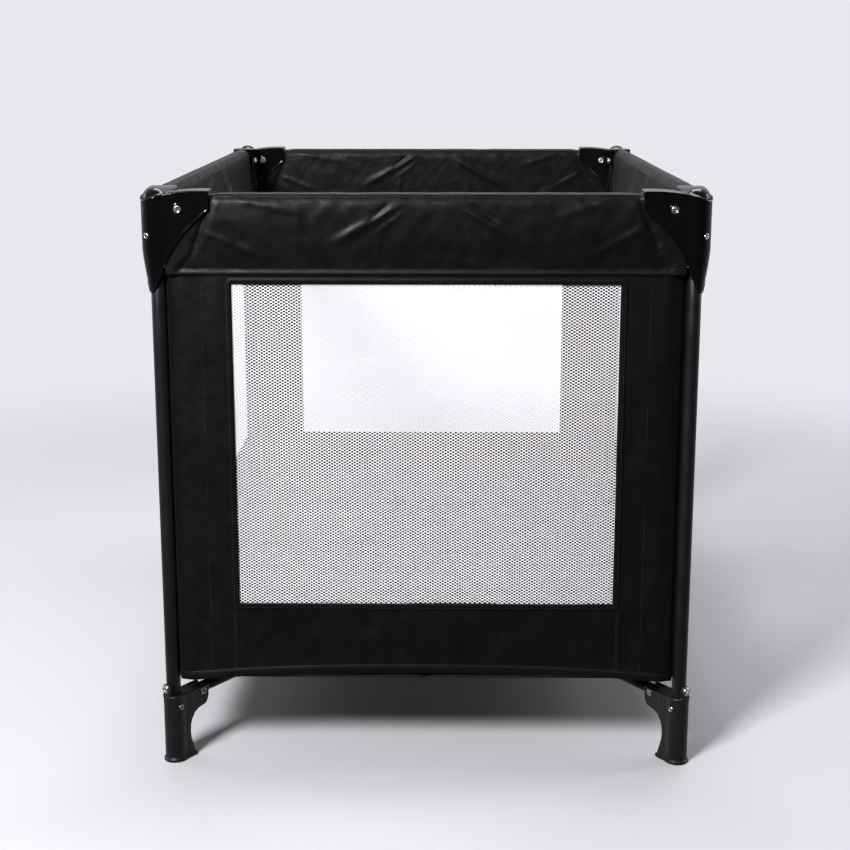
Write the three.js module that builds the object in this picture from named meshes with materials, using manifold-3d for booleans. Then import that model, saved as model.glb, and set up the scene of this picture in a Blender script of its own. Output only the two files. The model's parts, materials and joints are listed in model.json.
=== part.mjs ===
// A folding travel-cot playpen: four tube legs, eight hinged half rails that lock in the middle
// of each side, four base tubes that meet in a centre hub, fabric walls with mesh windows, a fabric
// floor and a four-part folding mattress.
//
// Millimetres, +Z up. The origin is on the ground in the middle of the footprint. X runs across the
// cot and Y along it, and the "front" end is the one at -Y.

import * as THREE from 'three';
import { mergeVertices } from 'three/addons/utils/BufferGeometryUtils.js';
import Module from 'manifold-3d';

const wasm = await Module();
wasm.setup();

// ---------------------------------------------------------------- driving dimensions

const LEG_SPACING_X = 708;        // leg axis to leg axis, across the cot
const LEG_SPACING_Y = 1007;       // leg axis to leg axis, along the cot
const RAIL_HEIGHT = 776.5;        // height of the rail pivots
const BASE_HEIGHT = 90;           // height of the base tube pivots
const FIT_GAP = 0.3;              // between pieces that touch
const FABRIC_GAP = 0.4;           // fabric over what it covers
const TUBE_GAP = 0.8;             // beside a rail that turns, and behind a wall
const CLEVIS_GAP = 0.6;           // beside a base tube
const SWING_GAP = 1;              // past a tube end as it swings
const TUBE_WALL = 1.2;

const LEG_RADIUS = 10;
const RAIL_RADIUS = 9;
const BASE_TUBE_RADIUS = 8;

const RIVET_RADIUS = 3;
const PIN_HOLE_RADIUS = 3.4;      // holes that turn on rivets and pins
const RIVET_HEAD_RADIUS = 5.4;
const RIVET_HEAD_HEIGHT = 1.4;

const CAP_WALL = 2.5;
const CAP_ARM = 72;               // leg axis to the inner end of each arm
const CAP_ROOM = 0.6;             // channel wall to the rail cover
const CAP_CEILING = 19.5;         // channel ceiling above the rail pivot
const CAP_DOME_RADIUS = 13.5;
const CAP_DOME_RISE = 13;         // dome centre above the rail pivot
const CAP_END_TOP = 24.5;         // above the rail pivot, as are the next three
const CAP_END_BOTTOM = -1.5;
const CAP_CORNER_TOP = 16.5;
const CAP_TIP = -113.5;
const CAP_UPPER_PULL = [20, 28];  // these shape the curved edges: [leg axis inwards, height]
const CAP_LOWER_PULL = [20, -40];
const CAP_LOWER_END = [-4, -102];
const RAIL_INSET = 31;            // leg axis to the rail pivot

const FOOT_HEIGHT = 98;
const FOOT_SIDE_WALL = 3.5;       // beside the leg, and around its outer half
const FOOT_ROUND_WALL = 4.5;
const FOOT_SOLE = 5;
const FOOT_RIM = 2.5;             // how far the bottom rim stands out
const FOOT_TOE = 27;              // leg axis to the end of the sole
const FOOT_PIVOT_INSET = 46;      // leg axis to the base tube pivot, along the diagonal
const FOOT_EAR_END = 13;          // pivot to the tip of the ear
const BOSS_RADIUS = 7.5;
const BOSS_HEIGHT = 109;

const HUB_PIVOT_RADIUS = 49.6;    // cot centre to the base tube pivots
const HUB_BODY = [78, 104];       // heights of the body that carries the ears
const HUB_RADIUS = 32;
const HUB_EAR = [-10, 12];        // the ears' edges below and above the pivots
const HUB_EAR_END = 10;           // pivot to the tip of the ear
const HUB_STEM_RADIUS = 15;
const HUB_NECK_RADIUS = 12;
const HUB_FLANGE_RADIUS = 30;
const HUB_CAP_RADIUS = 34;
const HUB_CAP_HEIGHT = 4;
const HUB_SOLE_RADIUS = 24;
const EAR_WALL = 4;               // each ear of the hub's and the feet's clevises

const LOCK_WALL = 2.4;
const LOCK_END = 13;              // housing past each of its pivots
const RAIL_LOCK_OVERHANG = 7;     // rail end past the lock pivot
const TUBE_OVERHANG = 9;          // tube end past its other pivots
const BUTTON_HEIGHT = 14;
const BUTTON_STAND_OUT = 7;       // below the housing
const BUTTON_SIDE_GAP = 2.5;      // button to the housing's side walls
const BUTTON_END_GAP = 1.5;       // button to the rail ends as they swing
const LOCK_LIP = 3;               // housing above the rails

const FABRIC = 1.4;               // thickness of the sewn fabric
const COVER_FABRIC = 1.8;         // the padded rail cover
const COVER_TOP = 20.5;           // above the rail pivot
const COVER_DROP = 86.5;          // rail pivot down to the cover's bottom seam
const WALL_LAP = 10;              // how far the wall runs up inside the cover
const HEM_MIDDLE = 130;           // height of the bottom hem, middle and ends
const HEM_END = 104;
const HEM_POWER = 3;              // how suddenly the hem drops towards the feet
const FLOOR_HEIGHT = 128;

const MATTRESS_UNDERSIDE = 138;
const MATTRESS_THICKNESS = 24;
const MATTRESS_SEGMENTS = 4;
const MATTRESS_CORNER = 45;
const MATTRESS_MARGIN = 1;        // short of the leg axes, each way
const SEGMENT_GAP = 2;
const WALL_END = 5;               // leg axis to the wall's end
const WALL_TOP_CORNER = [9, 16];  // the wall's cut-off top corners
const COVER_END = [13, 24];       // leg axis to the cover's end at the seam, and where it slants
const COVER_SEAM = 12;            // height of that straight part
const STRAP_WIDTH = 30;
const STRAP_LENGTH = 190;
const STRAP_THICKNESS = 2;

const ROUND_SIDES = 12;           // facets of tubes, and of rivets and their holes
const PIN_SIDES = 8;

// ---------------------------------------------------------------- worked-out sizes

const halfX = LEG_SPACING_X / 2;
const halfY = LEG_SPACING_Y / 2;
const diagonal = Math.hypot(halfX, halfY);

// The base tubes and both kinds of half rail keep the proportions of the footprint, so when they
// all turn by the same angle the legs stay upright and every pivot stays closed.
const fixedReach = FOOT_PIVOT_INSET + HUB_PIVOT_RADIUS;
const lockHalfX = fixedReach * halfX / diagonal - RAIL_INSET;
const lockHalfY = fixedReach * halfY / diagonal - RAIL_INSET;
const lockHalfShort = Math.min(lockHalfX, lockHalfY);

const lockInner = RAIL_RADIUS + TUBE_GAP;
const lockOuter = lockInner + LOCK_WALL;
const lockTop = RAIL_RADIUS + LOCK_LIP;
const railSwing = Math.hypot(RAIL_RADIUS, RAIL_LOCK_OVERHANG);
const lockFloor = -railSwing - SWING_GAP;
const lockBottom = lockFloor - LOCK_WALL;
const buttonHalfWidth = lockInner - BUTTON_SIDE_GAP;
const buttonHalfLength = lockHalfShort - railSwing - BUTTON_END_GAP;
const wallInner = LEG_RADIUS + TUBE_GAP;
const coverInner = Math.max(lockOuter, wallInner + FABRIC) + FABRIC_GAP;
const coverOuter = coverInner + COVER_FABRIC;
const coverTop = Math.max(COVER_TOP, lockTop + COVER_FABRIC + FABRIC_GAP);
const capSkin = coverOuter + CAP_ROOM + CAP_WALL;
const baseSlotHalf = BASE_TUBE_RADIUS + CLEVIS_GAP;
const footHalfWidth = Math.max(LEG_RADIUS + FOOT_SIDE_WALL, baseSlotHalf + EAR_WALL);
const footSkin = LEG_RADIUS + FOOT_ROUND_WALL;
const footEar = FOOT_PIVOT_INSET + FOOT_EAR_END;
const wallTop = RAIL_HEIGHT - COVER_DROP + WALL_LAP;

const corners = [
  { name: 'front_left', signX: -1, signY: -1 },
  { name: 'front_right', signX: 1, signY: -1 },
  { name: 'back_left', signX: -1, signY: 1 },
  { name: 'back_right', signX: 1, signY: 1 },
];

// A side is built along its own X with its outside towards -Y, and then turned into place.
const sides = [
  { name: 'front', turn: 0, half: halfX, out: halfY, lockHalf: lockHalfX,
    rails: ['end_rail_front_left', 'end_rail_front_right'] },
  { name: 'back', turn: Math.PI, half: halfX, out: halfY, lockHalf: lockHalfX,
    rails: ['end_rail_back_right', 'end_rail_back_left'] },
  { name: 'right', turn: Math.PI / 2, half: halfY, out: halfX, lockHalf: lockHalfY,
    rails: ['side_rail_right_front', 'side_rail_right_back'] },
  { name: 'left', turn: -Math.PI / 2, half: halfY, out: halfX, lockHalf: lockHalfY,
    rails: ['side_rail_left_back', 'side_rail_left_front'] },
];

// ---------------------------------------------------------------- materials

function material(color, roughness, metalness) {
  return () => new THREE.MeshStandardMaterial({ color, roughness, metalness });
}

const powderCoat = material(0x131316, 0.45, 0.3);
const glossPlastic = material(0x0b0b0d, 0.12, 0);
const satinPlastic = material(0x17171a, 0.42, 0);
const zinc = material(0xc9ccd0, 0.3, 1);
const nylon = material(0x121216, 0.62, 0);
const mesh = material(0xe9e9f0, 0.8, 0);
const padding = material(0x141418, 0.7, 0);
const webbing = material(0x1a1a1e, 0.8, 0);

// ---------------------------------------------------------------- solids

const X = new THREE.Vector3(1, 0, 0);
const Y = new THREE.Vector3(0, 1, 0);
const Z = new THREE.Vector3(0, 0, 1);

function solidOf(geometry) {
  const bare = geometry.clone();
  bare.deleteAttribute('normal');
  bare.deleteAttribute('uv');
  const merged = mergeVertices(bare, 1e-4);
  return new wasm.Manifold(new wasm.Mesh({
    numProp: 3,
    vertProperties: new Float32Array(merged.attributes.position.array),
    triVerts: new Uint32Array(merged.index.array),
  }));
}

function geometryOf(solid) {
  const found = solid.getMesh();
  const geometry = new THREE.BufferGeometry();
  geometry.setAttribute('position', new THREE.BufferAttribute(found.vertProperties, 3));
  geometry.setIndex(new THREE.BufferAttribute(found.triVerts, 1));
  geometry.computeVertexNormals();
  return geometry;
}

// An outline of [u, v] points, extruded along u x v from `start` to `end`.
function prism(points, u, v, start, end) {
  const shape = new THREE.Shape(points.map(([a, b]) => new THREE.Vector2(a, b)));
  const geometry = new THREE.ExtrudeGeometry(shape, {
    depth: end - start, bevelEnabled: false, curveSegments: 8,
  });
  geometry.translate(0, 0, start);
  const normal = u.clone().cross(v);
  geometry.applyMatrix4(new THREE.Matrix4().makeBasis(u, v, normal));
  return solidOf(geometry);
}

const plate = (points, bottom, top) => prism(points, X, Y, bottom, top);

function box([x0, y0, z0], [x1, y1, z1]) {
  return plate([[x0, y0], [x1, y0], [x1, y1], [x0, y1]], z0, z1);
}

// A round bar from one point to another.
function rod(from, to, radius, sides = ROUND_SIDES) {
  const start = new THREE.Vector3(...from);
  const along = new THREE.Vector3(...to).sub(start);
  const geometry = new THREE.CylinderGeometry(radius, radius, along.length(), sides);
  const facing = new THREE.Quaternion().setFromUnitVectors(Y, along.clone().normalize());
  geometry.applyQuaternion(facing);
  geometry.translate(...start.add(along.multiplyScalar(0.5)).toArray());
  return solidOf(geometry);
}

// A turned solid about Z, from an outline of [radius, height] points that starts and ends on the axis.
function turned(points, sides) {
  const geometry = new THREE.LatheGeometry(points.map(([r, z]) => new THREE.Vector2(r, z)), sides);
  geometry.rotateX(Math.PI / 2);
  return solidOf(geometry);
}

function curvePoints(start, control, end, steps) {
  const [a, b, c] = [start, control, end].map((p) => new THREE.Vector2(...p));
  return new THREE.QuadraticBezierCurve(a, b, c).getPoints(steps).map((p) => [p.x, p.y]);
}

// A piece built for the front left corner, mirrored into another corner about its leg axis.
function mirrored(solid, corner) {
  const geometry = geometryOf(solid);
  geometry.scale(-corner.signX, -corner.signY, 1);
  if (corner.signX * corner.signY < 0) {
    const index = geometry.index.array;
    for (let i = 0; i < index.length; i += 3) {
      [index[i + 1], index[i + 2]] = [index[i + 2], index[i + 1]];
    }
  }
  geometry.computeVertexNormals();
  return geometry;
}

// ---------------------------------------------------------------- corner pieces
// These are built about the leg axis, with +X and +Y pointing into the cot.

const diagonalIn = new THREE.Vector3(halfX, halfY, 0).normalize();
const diagonalAcross = new THREE.Vector3(-diagonalIn.y, diagonalIn.x, 0);

const along = (distance, across, height) => diagonalIn.clone().multiplyScalar(distance)
  .addScaledVector(diagonalAcross, across).setZ(height).toArray();

function legTube() {
  const bottom = FOOT_SOLE + FIT_GAP;
  const top = RAIL_HEIGHT + CAP_DOME_RISE;
  const inside = rod([0, 0, bottom - 1], [0, 0, top + 1], LEG_RADIUS - TUBE_WALL);
  return rod([0, 0, bottom], [0, 0, top], LEG_RADIUS).subtract(inside);
}

function cornerCap() {
  const low = -capSkin - 1;
  const deep = CAP_TIP - 36;
  const high = CAP_END_TOP + 15;
  const quarter = [1, 2, 3].map((i) => {
    const angle = -Math.PI / 2 - i * Math.PI / 8;
    return [capSkin * Math.cos(angle), capSkin * Math.sin(angle)];
  });
  const plan = plate([
    [CAP_ARM, -capSkin], [CAP_ARM, capSkin], [capSkin, capSkin], [capSkin, CAP_ARM],
    [-capSkin, CAP_ARM], [-capSkin, 0], ...quarter.reverse(), [0, -capSkin],
  ], deep, high);
  const past = CAP_ARM + 1;
  const lowerEdge = curvePoints([CAP_ARM, CAP_END_BOTTOM], CAP_LOWER_PULL, CAP_LOWER_END, 5);
  const upperEdge = curvePoints([CAP_ARM, CAP_END_TOP], CAP_UPPER_PULL, [-capSkin, CAP_CORNER_TOP], 3);
  const aboveLower = [...lowerEdge, [low, CAP_TIP], [low, high], [past, high], [past, CAP_END_BOTTOM]];
  const belowUpper = [...upperEdge, [low, CAP_CORNER_TOP], [low, deep], [past, deep],
    [past, CAP_END_TOP]];
  const wide = CAP_ARM + 2;
  const acrossX = (points) => prism(points, X, Z, -wide, wide);
  const acrossY = (points) => prism(points, Y, Z, -wide, wide);
  const crown = acrossX(belowUpper).add(acrossY(belowUpper));
  const dome = solidOf(new THREE.SphereGeometry(CAP_DOME_RADIUS, 12, 8)
    .translate(0, 0, CAP_DOME_RISE));
  const body = plan.intersect(crown).intersect(acrossX(aboveLower)).intersect(acrossY(aboveLower));

  const legBore = rod([0, 0, deep], [0, 0, CAP_DOME_RISE + 1], LEG_RADIUS + FIT_GAP);
  const channel = capSkin - CAP_WALL;
  const channelX = box([LEG_RADIUS + 1, -channel, deep], [wide, channel, CAP_CEILING]);
  const channelY = box([-channel, LEG_RADIUS + 1, deep], [channel, wide, CAP_CEILING]);
  const holeX = rod([RAIL_INSET, -wide, 0], [RAIL_INSET, wide / 2, 0], PIN_HOLE_RADIUS, PIN_SIDES);
  const holeY = rod([-wide, RAIL_INSET, 0], [wide / 2, RAIL_INSET, 0], PIN_HOLE_RADIUS, PIN_SIDES);
  return body.add(dome).subtract(legBore).subtract(channelX).subtract(channelY)
    .subtract(holeX).subtract(holeY).translate([0, 0, RAIL_HEIGHT]);
}

// A rivet along Y or X, with a head past each face of the piece that it holds.
function rivet(from, to, faceToFace) {
  const start = new THREE.Vector3(...from);
  const unit = new THREE.Vector3(...to).sub(start).normalize();
  const at = (distance) => start.clone().addScaledVector(unit, distance).toArray();
  const head = faceToFace / 2 + FIT_GAP;
  const shank = rod(at(-head - 0.5), at(head + 0.5), RIVET_RADIUS, PIN_SIDES);
  const outer = rod(at(-head - RIVET_HEAD_HEIGHT), at(-head), RIVET_HEAD_RADIUS, PIN_SIDES);
  const inner = rod(at(head), at(head + RIVET_HEAD_HEIGHT), RIVET_HEAD_RADIUS, PIN_SIDES);
  return shank.add(outer).add(inner);
}

function footProfile() {
  const waist = curvePoints([FOOT_TOE, FOOT_RIM * 2], [12, 45], [30, 63], 4);
  const underEar = curvePoints([footEar - 11, 68], [footEar, 70], [footEar, 88], 3);
  return [[0, 0], [FOOT_TOE, 0], ...waist, ...underEar, [footEar - 3, FOOT_HEIGHT], [0, FOOT_HEIGHT]];
}

function foot() {
  const half = footHalfWidth;
  const toe = FOOT_TOE + FOOT_RIM;
  const web = prism(footProfile(), diagonalIn, Z, -half, half);
  const column = rod([0, 0, 0], [0, 0, FOOT_HEIGHT], footSkin, 16);
  const rim = rod([0, 0, 0], [0, 0, 2 * FOOT_RIM], footSkin + FOOT_RIM, 16)
    .add(prism([[0, 0], [toe, 0], [toe, 2 * FOOT_RIM], [0, 2 * FOOT_RIM]],
      diagonalIn, Z, -half - FOOT_RIM / 2, half + FOOT_RIM / 2));
  const bossAt = (distance) => along(-distance, 0, BOSS_HEIGHT);
  const boss = rod(bossAt(LEG_RADIUS), bossAt(footSkin), BOSS_RADIUS, PIN_SIDES)
    .add(prism([[-footSkin + 1, FOOT_HEIGHT - 4], [-LEG_RADIUS + 2, FOOT_HEIGHT - 4],
      [-LEG_RADIUS + 2, BOSS_HEIGHT], [-footSkin + 1, BOSS_HEIGHT]],
    diagonalIn, Z, -BOSS_RADIUS + 1, BOSS_RADIUS - 1));

  const socket = rod([0, 0, FOOT_SOLE], [0, 0, BOSS_HEIGHT + 20], LEG_RADIUS + FIT_GAP);
  const swing = Math.hypot(TUBE_OVERHANG, BASE_TUBE_RADIUS) + CLEVIS_GAP;
  const slot = prism([[FOOT_PIVOT_INSET - swing, BASE_HEIGHT - swing],
    [footEar + 5, BASE_HEIGHT - swing], [footEar + 5, FOOT_HEIGHT + 5],
    [FOOT_PIVOT_INSET - swing, FOOT_HEIGHT + 5]], diagonalIn, Z, -baseSlotHalf, baseSlotHalf);
  const pinEnd = (across) => along(FOOT_PIVOT_INSET, across, BASE_HEIGHT);
  const pinHole = rod(pinEnd(-2 * half), pinEnd(2 * half), PIN_HOLE_RADIUS, PIN_SIDES);
  return column.add(web).add(rim).add(boss).subtract(socket).subtract(slot).subtract(pinHole);
}

// ---------------------------------------------------------------- tubes of the folding frame

// A tube along +X from pivot to pivot, with a cross hole at each pivot.
function pivotTube(length, radius, startOverhang, endOverhang, holeAxis) {
  const from = [-startOverhang, 0, 0];
  const to = [length + endOverhang, 0, 0];
  const inside = rod([from[0] - 1, 0, 0], [to[0] + 1, 0, 0], radius - TUBE_WALL, 12);
  let tube = rod(from, to, radius, 12).subtract(inside);
  for (const at of [0, length]) {
    const side = new THREE.Vector3(at, 0, 0);
    const a = side.clone().addScaledVector(holeAxis, -radius - 2).toArray();
    const b = side.clone().addScaledVector(holeAxis, radius + 2).toArray();
    tube = tube.subtract(rod(a, b, PIN_HOLE_RADIUS, PIN_SIDES));
  }
  return tube;
}

// A rail lock: a channel under the ends of two half rails, open above so that they fold upwards in
// it, with a pin for each and a window in its floor for the button.
function lockHousing(lockHalf) {
  const end = lockHalf + LOCK_END;
  const shell = box([-end, -lockOuter, lockBottom], [end, lockOuter, lockTop]);
  const inside = box([-end - 1, -lockInner, lockFloor], [end + 1, lockInner, lockTop + 1]);
  const windowX = buttonHalfLength + FABRIC_GAP;
  const windowY = buttonHalfWidth + FABRIC_GAP;
  const opening = box([-windowX, -windowY, lockBottom - 1], [windowX, windowY, lockFloor + 1]);
  let housing = shell.subtract(inside).subtract(opening);
  for (const at of [-lockHalf, lockHalf]) {
    housing = housing.add(rod([at, -lockInner - 1, 0], [at, lockInner + 1, 0], RIVET_RADIUS, PIN_SIDES));
  }
  return housing;
}

function lockButton() {
  const halfLength = buttonHalfLength;
  const halfWidth = buttonHalfWidth;
  const bottom = lockBottom - BUTTON_STAND_OUT;
  const round = 3;
  return prism([[-halfLength, bottom + round], [-halfLength + round, bottom],
    [halfLength - round, bottom], [halfLength, bottom + round],
    [halfLength, bottom + BUTTON_HEIGHT], [-halfLength, bottom + BUTTON_HEIGHT]],
  X, Z, -halfWidth, halfWidth);
}

function baseHub() {
  const top = FLOOR_HEIGHT - FIT_GAP;
  const [low, high] = HUB_BODY;
  const stem = HUB_STEM_RADIUS;
  const body = turned([[0, 0], [HUB_SOLE_RADIUS, 0], [HUB_SOLE_RADIUS, 4], [stem + 1, 14],
    [stem - 2, low - 8], [HUB_RADIUS, low], [HUB_RADIUS, high], [stem, high + 6], [stem, high + 16],
    [HUB_FLANGE_RADIUS, top - 3],
    [HUB_FLANGE_RADIUS, top], [HUB_NECK_RADIUS, top], [HUB_NECK_RADIUS, top + FABRIC + FIT_GAP],
    [0, top + FABRIC + FIT_GAP]], 16);
  const inner = baseSlotHalf;
  const root = HUB_RADIUS - 8;
  const tip = HUB_PIVOT_RADIUS + HUB_EAR_END;
  const [earLow, earHigh] = HUB_EAR.map((edge) => BASE_HEIGHT + edge);
  let hub = body;
  for (const corner of corners) {
    const outward = new THREE.Vector3(corner.signX * halfX, corner.signY * halfY, 0).normalize();
    const outline = [[root, earLow], [tip - 4, earLow], [tip, earLow + 5], [tip, earHigh - 4],
      [tip - 4, earHigh], [root, earHigh]];
    hub = hub.add(prism(outline, outward, Z, inner, inner + EAR_WALL))
      .add(prism(outline, outward, Z, -inner - EAR_WALL, -inner));
    const sideways = new THREE.Vector3(-outward.y, outward.x, 0);
    const pivot = outward.clone().multiplyScalar(HUB_PIVOT_RADIUS).setZ(BASE_HEIGHT);
    const pinEnd = (sign) => pivot.clone().addScaledVector(sideways, sign * (inner + 1)).toArray();
    hub = hub.add(rod(pinEnd(-1), pinEnd(1), RIVET_RADIUS, PIN_SIDES));
  }
  return hub;
}

function hubCap() {
  const bottom = FLOOR_HEIGHT + FABRIC + FIT_GAP + 0.3;
  return turned([[0, bottom], [HUB_CAP_RADIUS, bottom], [HUB_CAP_RADIUS, bottom + 2],
    [HUB_CAP_RADIUS - 5, bottom + HUB_CAP_HEIGHT], [0, bottom + HUB_CAP_HEIGHT]], 16);
}

function pullStrap() {
  const bottom = FLOOR_HEIGHT + FABRIC + 3 * FIT_GAP + HUB_CAP_HEIGHT;
  const half = STRAP_WIDTH / 2;
  const end = [0, 1, 2, 3, 4].map((i) => {
    const angle = Math.PI * i / 4;
    return [half * Math.cos(angle), STRAP_LENGTH - half + half * Math.sin(angle)];
  });
  return plate([[-half, -half], [half, -half], ...end], bottom, bottom + STRAP_THICKNESS);
}

// ---------------------------------------------------------------- fabric

// A wall panel in the plane of its side, from the arched bottom hem up into the rail cover.
function wallPanel(half) {
  const end = half - WALL_END;
  const steps = 10;
  const hem = Array.from({ length: steps + 1 }, (_, i) => {
    const x = -end + 2 * end * i / steps;
    return [x, HEM_MIDDLE - (HEM_MIDDLE - HEM_END) * Math.abs(x / end) ** HEM_POWER];
  });
  const [cut, drop] = WALL_TOP_CORNER;
  const outline = [...hem, [end, wallTop - drop], [end - cut, wallTop], [-end + cut, wallTop],
    [-end, wallTop - drop]];
  return prism(outline, X, Z, wallInner, wallInner + FABRIC);
}

// The padded cover over a top rail: an upside-down channel with its ends cut away under the caps.
function railCover(half) {
  const top = coverTop;
  const bottom = -COVER_DROP;
  const outer = coverOuter;
  const [seamEnd, slantEnd] = COVER_END;
  const topEnd = half - CAP_ARM - 3;
  const outline = [[-topEnd, top], [-half + slantEnd, bottom + COVER_SEAM],
    [-half + seamEnd, bottom], [half - seamEnd, bottom], [half - slantEnd, bottom + COVER_SEAM],
    [topEnd, top]];
  const shell = prism(outline, X, Z, -outer, outer);
  const inside = box([-half, -coverInner, bottom - 1], [half, coverInner, top - COVER_FABRIC]);
  const innerEnd = half - outer - 2;
  const cutLeft = box([-half, 0, bottom - 1], [-innerEnd, outer + 1, top]);
  const cutRight = box([innerEnd, 0, bottom - 1], [half, outer + 1, top]);
  return shell.subtract(inside).subtract(cutLeft).subtract(cutRight);
}

function floorPanel() {
  const x = halfX + LEG_RADIUS;
  const y = halfY + LEG_RADIUS;
  const notchX = halfX - LEG_RADIUS - 4;
  const notchY = halfY - LEG_RADIUS - 4;
  const panel = plate([[-notchX, -y], [notchX, -y], [notchX, -notchY], [x, -notchY],
    [x, notchY], [notchX, notchY], [notchX, y], [-notchX, y],
    [-notchX, notchY], [-x, notchY], [-x, -notchY], [-notchX, -notchY]],
  FLOOR_HEIGHT, FLOOR_HEIGHT + FABRIC);
  return panel.subtract(rod([0, 0, FLOOR_HEIGHT - 5], [0, 0, FLOOR_HEIGHT + 5],
    HUB_NECK_RADIUS + 1, 16));
}

// One quarter of the mattress; the two end quarters have rounded outer corners.
function mattressSegment(index) {
  const width = halfX - MATTRESS_MARGIN;
  const length = 2 * (halfY - MATTRESS_MARGIN) / MATTRESS_SEGMENTS;
  const start = -halfY + MATTRESS_MARGIN + index * length + SEGMENT_GAP / 2;
  const end = start + length - SEGMENT_GAP;
  const round = (signX, signY, y) => [0, 1, 2, 3].map((i) => {
    const angle = Math.PI / 2 * i / 3;
    const reach = [MATTRESS_CORNER * Math.sin(angle), MATTRESS_CORNER * Math.cos(angle)];
    return [signX * (width - MATTRESS_CORNER + reach[0]), y + signY * (reach[1] - MATTRESS_CORNER)];
  });
  const first = index === 0;
  const last = index === MATTRESS_SEGMENTS - 1;
  const front = first ? [...round(-1, -1, start).reverse(), ...round(1, -1, start)]
    : [[-width, start], [width, start]];
  const back = last ? [...round(1, 1, end).reverse(), ...round(-1, 1, end)]
    : [[width, end], [-width, end]];
  return plate([...front, ...back], MATTRESS_UNDERSIDE, MATTRESS_UNDERSIDE + MATTRESS_THICKNESS);
}

// ---------------------------------------------------------------- the cot

const playpen = new THREE.Group();

function place(name, geometry, makeMaterial, parent = playpen) {
  const node = new THREE.Mesh(geometry, makeMaterial());
  node.name = name;
  parent.add(node);
  return node;
}

function addCorner(corner) {
  const group = new THREE.Group();
  group.position.set(corner.signX * halfX, corner.signY * halfY, 0);
  playpen.add(group);
  const put = (name, solid, finish) => place(name, mirrored(solid, corner), finish, group);
  const capFaces = 2 * capSkin;
  const endPivot = [RAIL_INSET, 0, RAIL_HEIGHT];
  const sidePivot = [0, RAIL_INSET, RAIL_HEIGHT];
  put(`leg_${corner.name}`, legTube(), powderCoat);
  put(`corner_cap_${corner.name}`, cornerCap(), glossPlastic);
  put(`foot_${corner.name}`, foot(), satinPlastic);
  put(`end_rail_rivet_${corner.name}`,
    rivet(endPivot, [RAIL_INSET, 1, RAIL_HEIGHT], capFaces), zinc);
  put(`side_rail_rivet_${corner.name}`,
    rivet(sidePivot, [1, RAIL_INSET, RAIL_HEIGHT], capFaces), zinc);
  put(`base_rivet_${corner.name}`, rivet(along(FOOT_PIVOT_INSET, 0, BASE_HEIGHT),
    along(FOOT_PIVOT_INSET, 1, BASE_HEIGHT), 2 * footHalfWidth), zinc);
}

function addSide(side) {
  const group = new THREE.Group();
  group.rotation.z = side.turn;
  playpen.add(group);
  const length = side.half - RAIL_INSET - side.lockHalf;
  const tube = geometryOf(pivotTube(length, RAIL_RADIUS, TUBE_OVERHANG, RAIL_LOCK_OVERHANG, Y));
  const first = place(side.rails[0], tube, powderCoat, group);
  first.position.set(-side.half + RAIL_INSET, -side.out, RAIL_HEIGHT);
  const second = place(side.rails[1], tube.clone(), powderCoat, group);
  second.position.set(side.half - RAIL_INSET, -side.out, RAIL_HEIGHT);
  second.rotation.z = Math.PI;
  const middle = [0, -side.out, RAIL_HEIGHT];
  place(`rail_lock_${side.name}`, geometryOf(lockHousing(side.lockHalf)), satinPlastic, group)
    .position.set(...middle);
  place(`lock_button_${side.name}`, geometryOf(lockButton()), satinPlastic, group)
    .position.set(...middle);
  place(`rail_cover_${side.name}`, geometryOf(railCover(side.half)), nylon, group)
    .position.set(...middle);
  place(`wall_${side.name}`, geometryOf(wallPanel(side.half)), mesh, group)
    .position.set(0, -side.out, 0);
}

function addBase() {
  const length = diagonal - fixedReach;
  for (const corner of corners) {
    const tube = pivotTube(length, BASE_TUBE_RADIUS, TUBE_OVERHANG, TUBE_OVERHANG, Y);
    const node = place(`base_tube_${corner.name}`, geometryOf(tube), powderCoat);
    node.rotation.z = Math.atan2(-corner.signY * halfY, -corner.signX * halfX);
    const reach = (diagonal - FOOT_PIVOT_INSET) / diagonal;
    node.position.set(corner.signX * halfX * reach, corner.signY * halfY * reach, BASE_HEIGHT);
  }
  place('base_hub', geometryOf(baseHub()), satinPlastic);
  place('hub_cap', geometryOf(hubCap()), satinPlastic);
  place('pull_strap', geometryOf(pullStrap()), webbing);
  place('floor_panel', geometryOf(floorPanel()), nylon);
}

corners.forEach(addCorner);
sides.forEach(addSide);
addBase();
for (let index = 0; index < MATTRESS_SEGMENTS; index += 1) {
  place(`mattress_segment_${index + 1}`, geometryOf(mattressSegment(index)), padding);
}

export default playpen;
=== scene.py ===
"""The looks of a folding travel-cot playpen: moulded caps and feet, tubes, rivets, padded rail
covers, fabric walls with netting windows, a fabric floor and a four-part mattress.

Metres, in the frame's own axes. Lengths written here are in millimetres times MM.
"""
import json
import math

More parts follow.
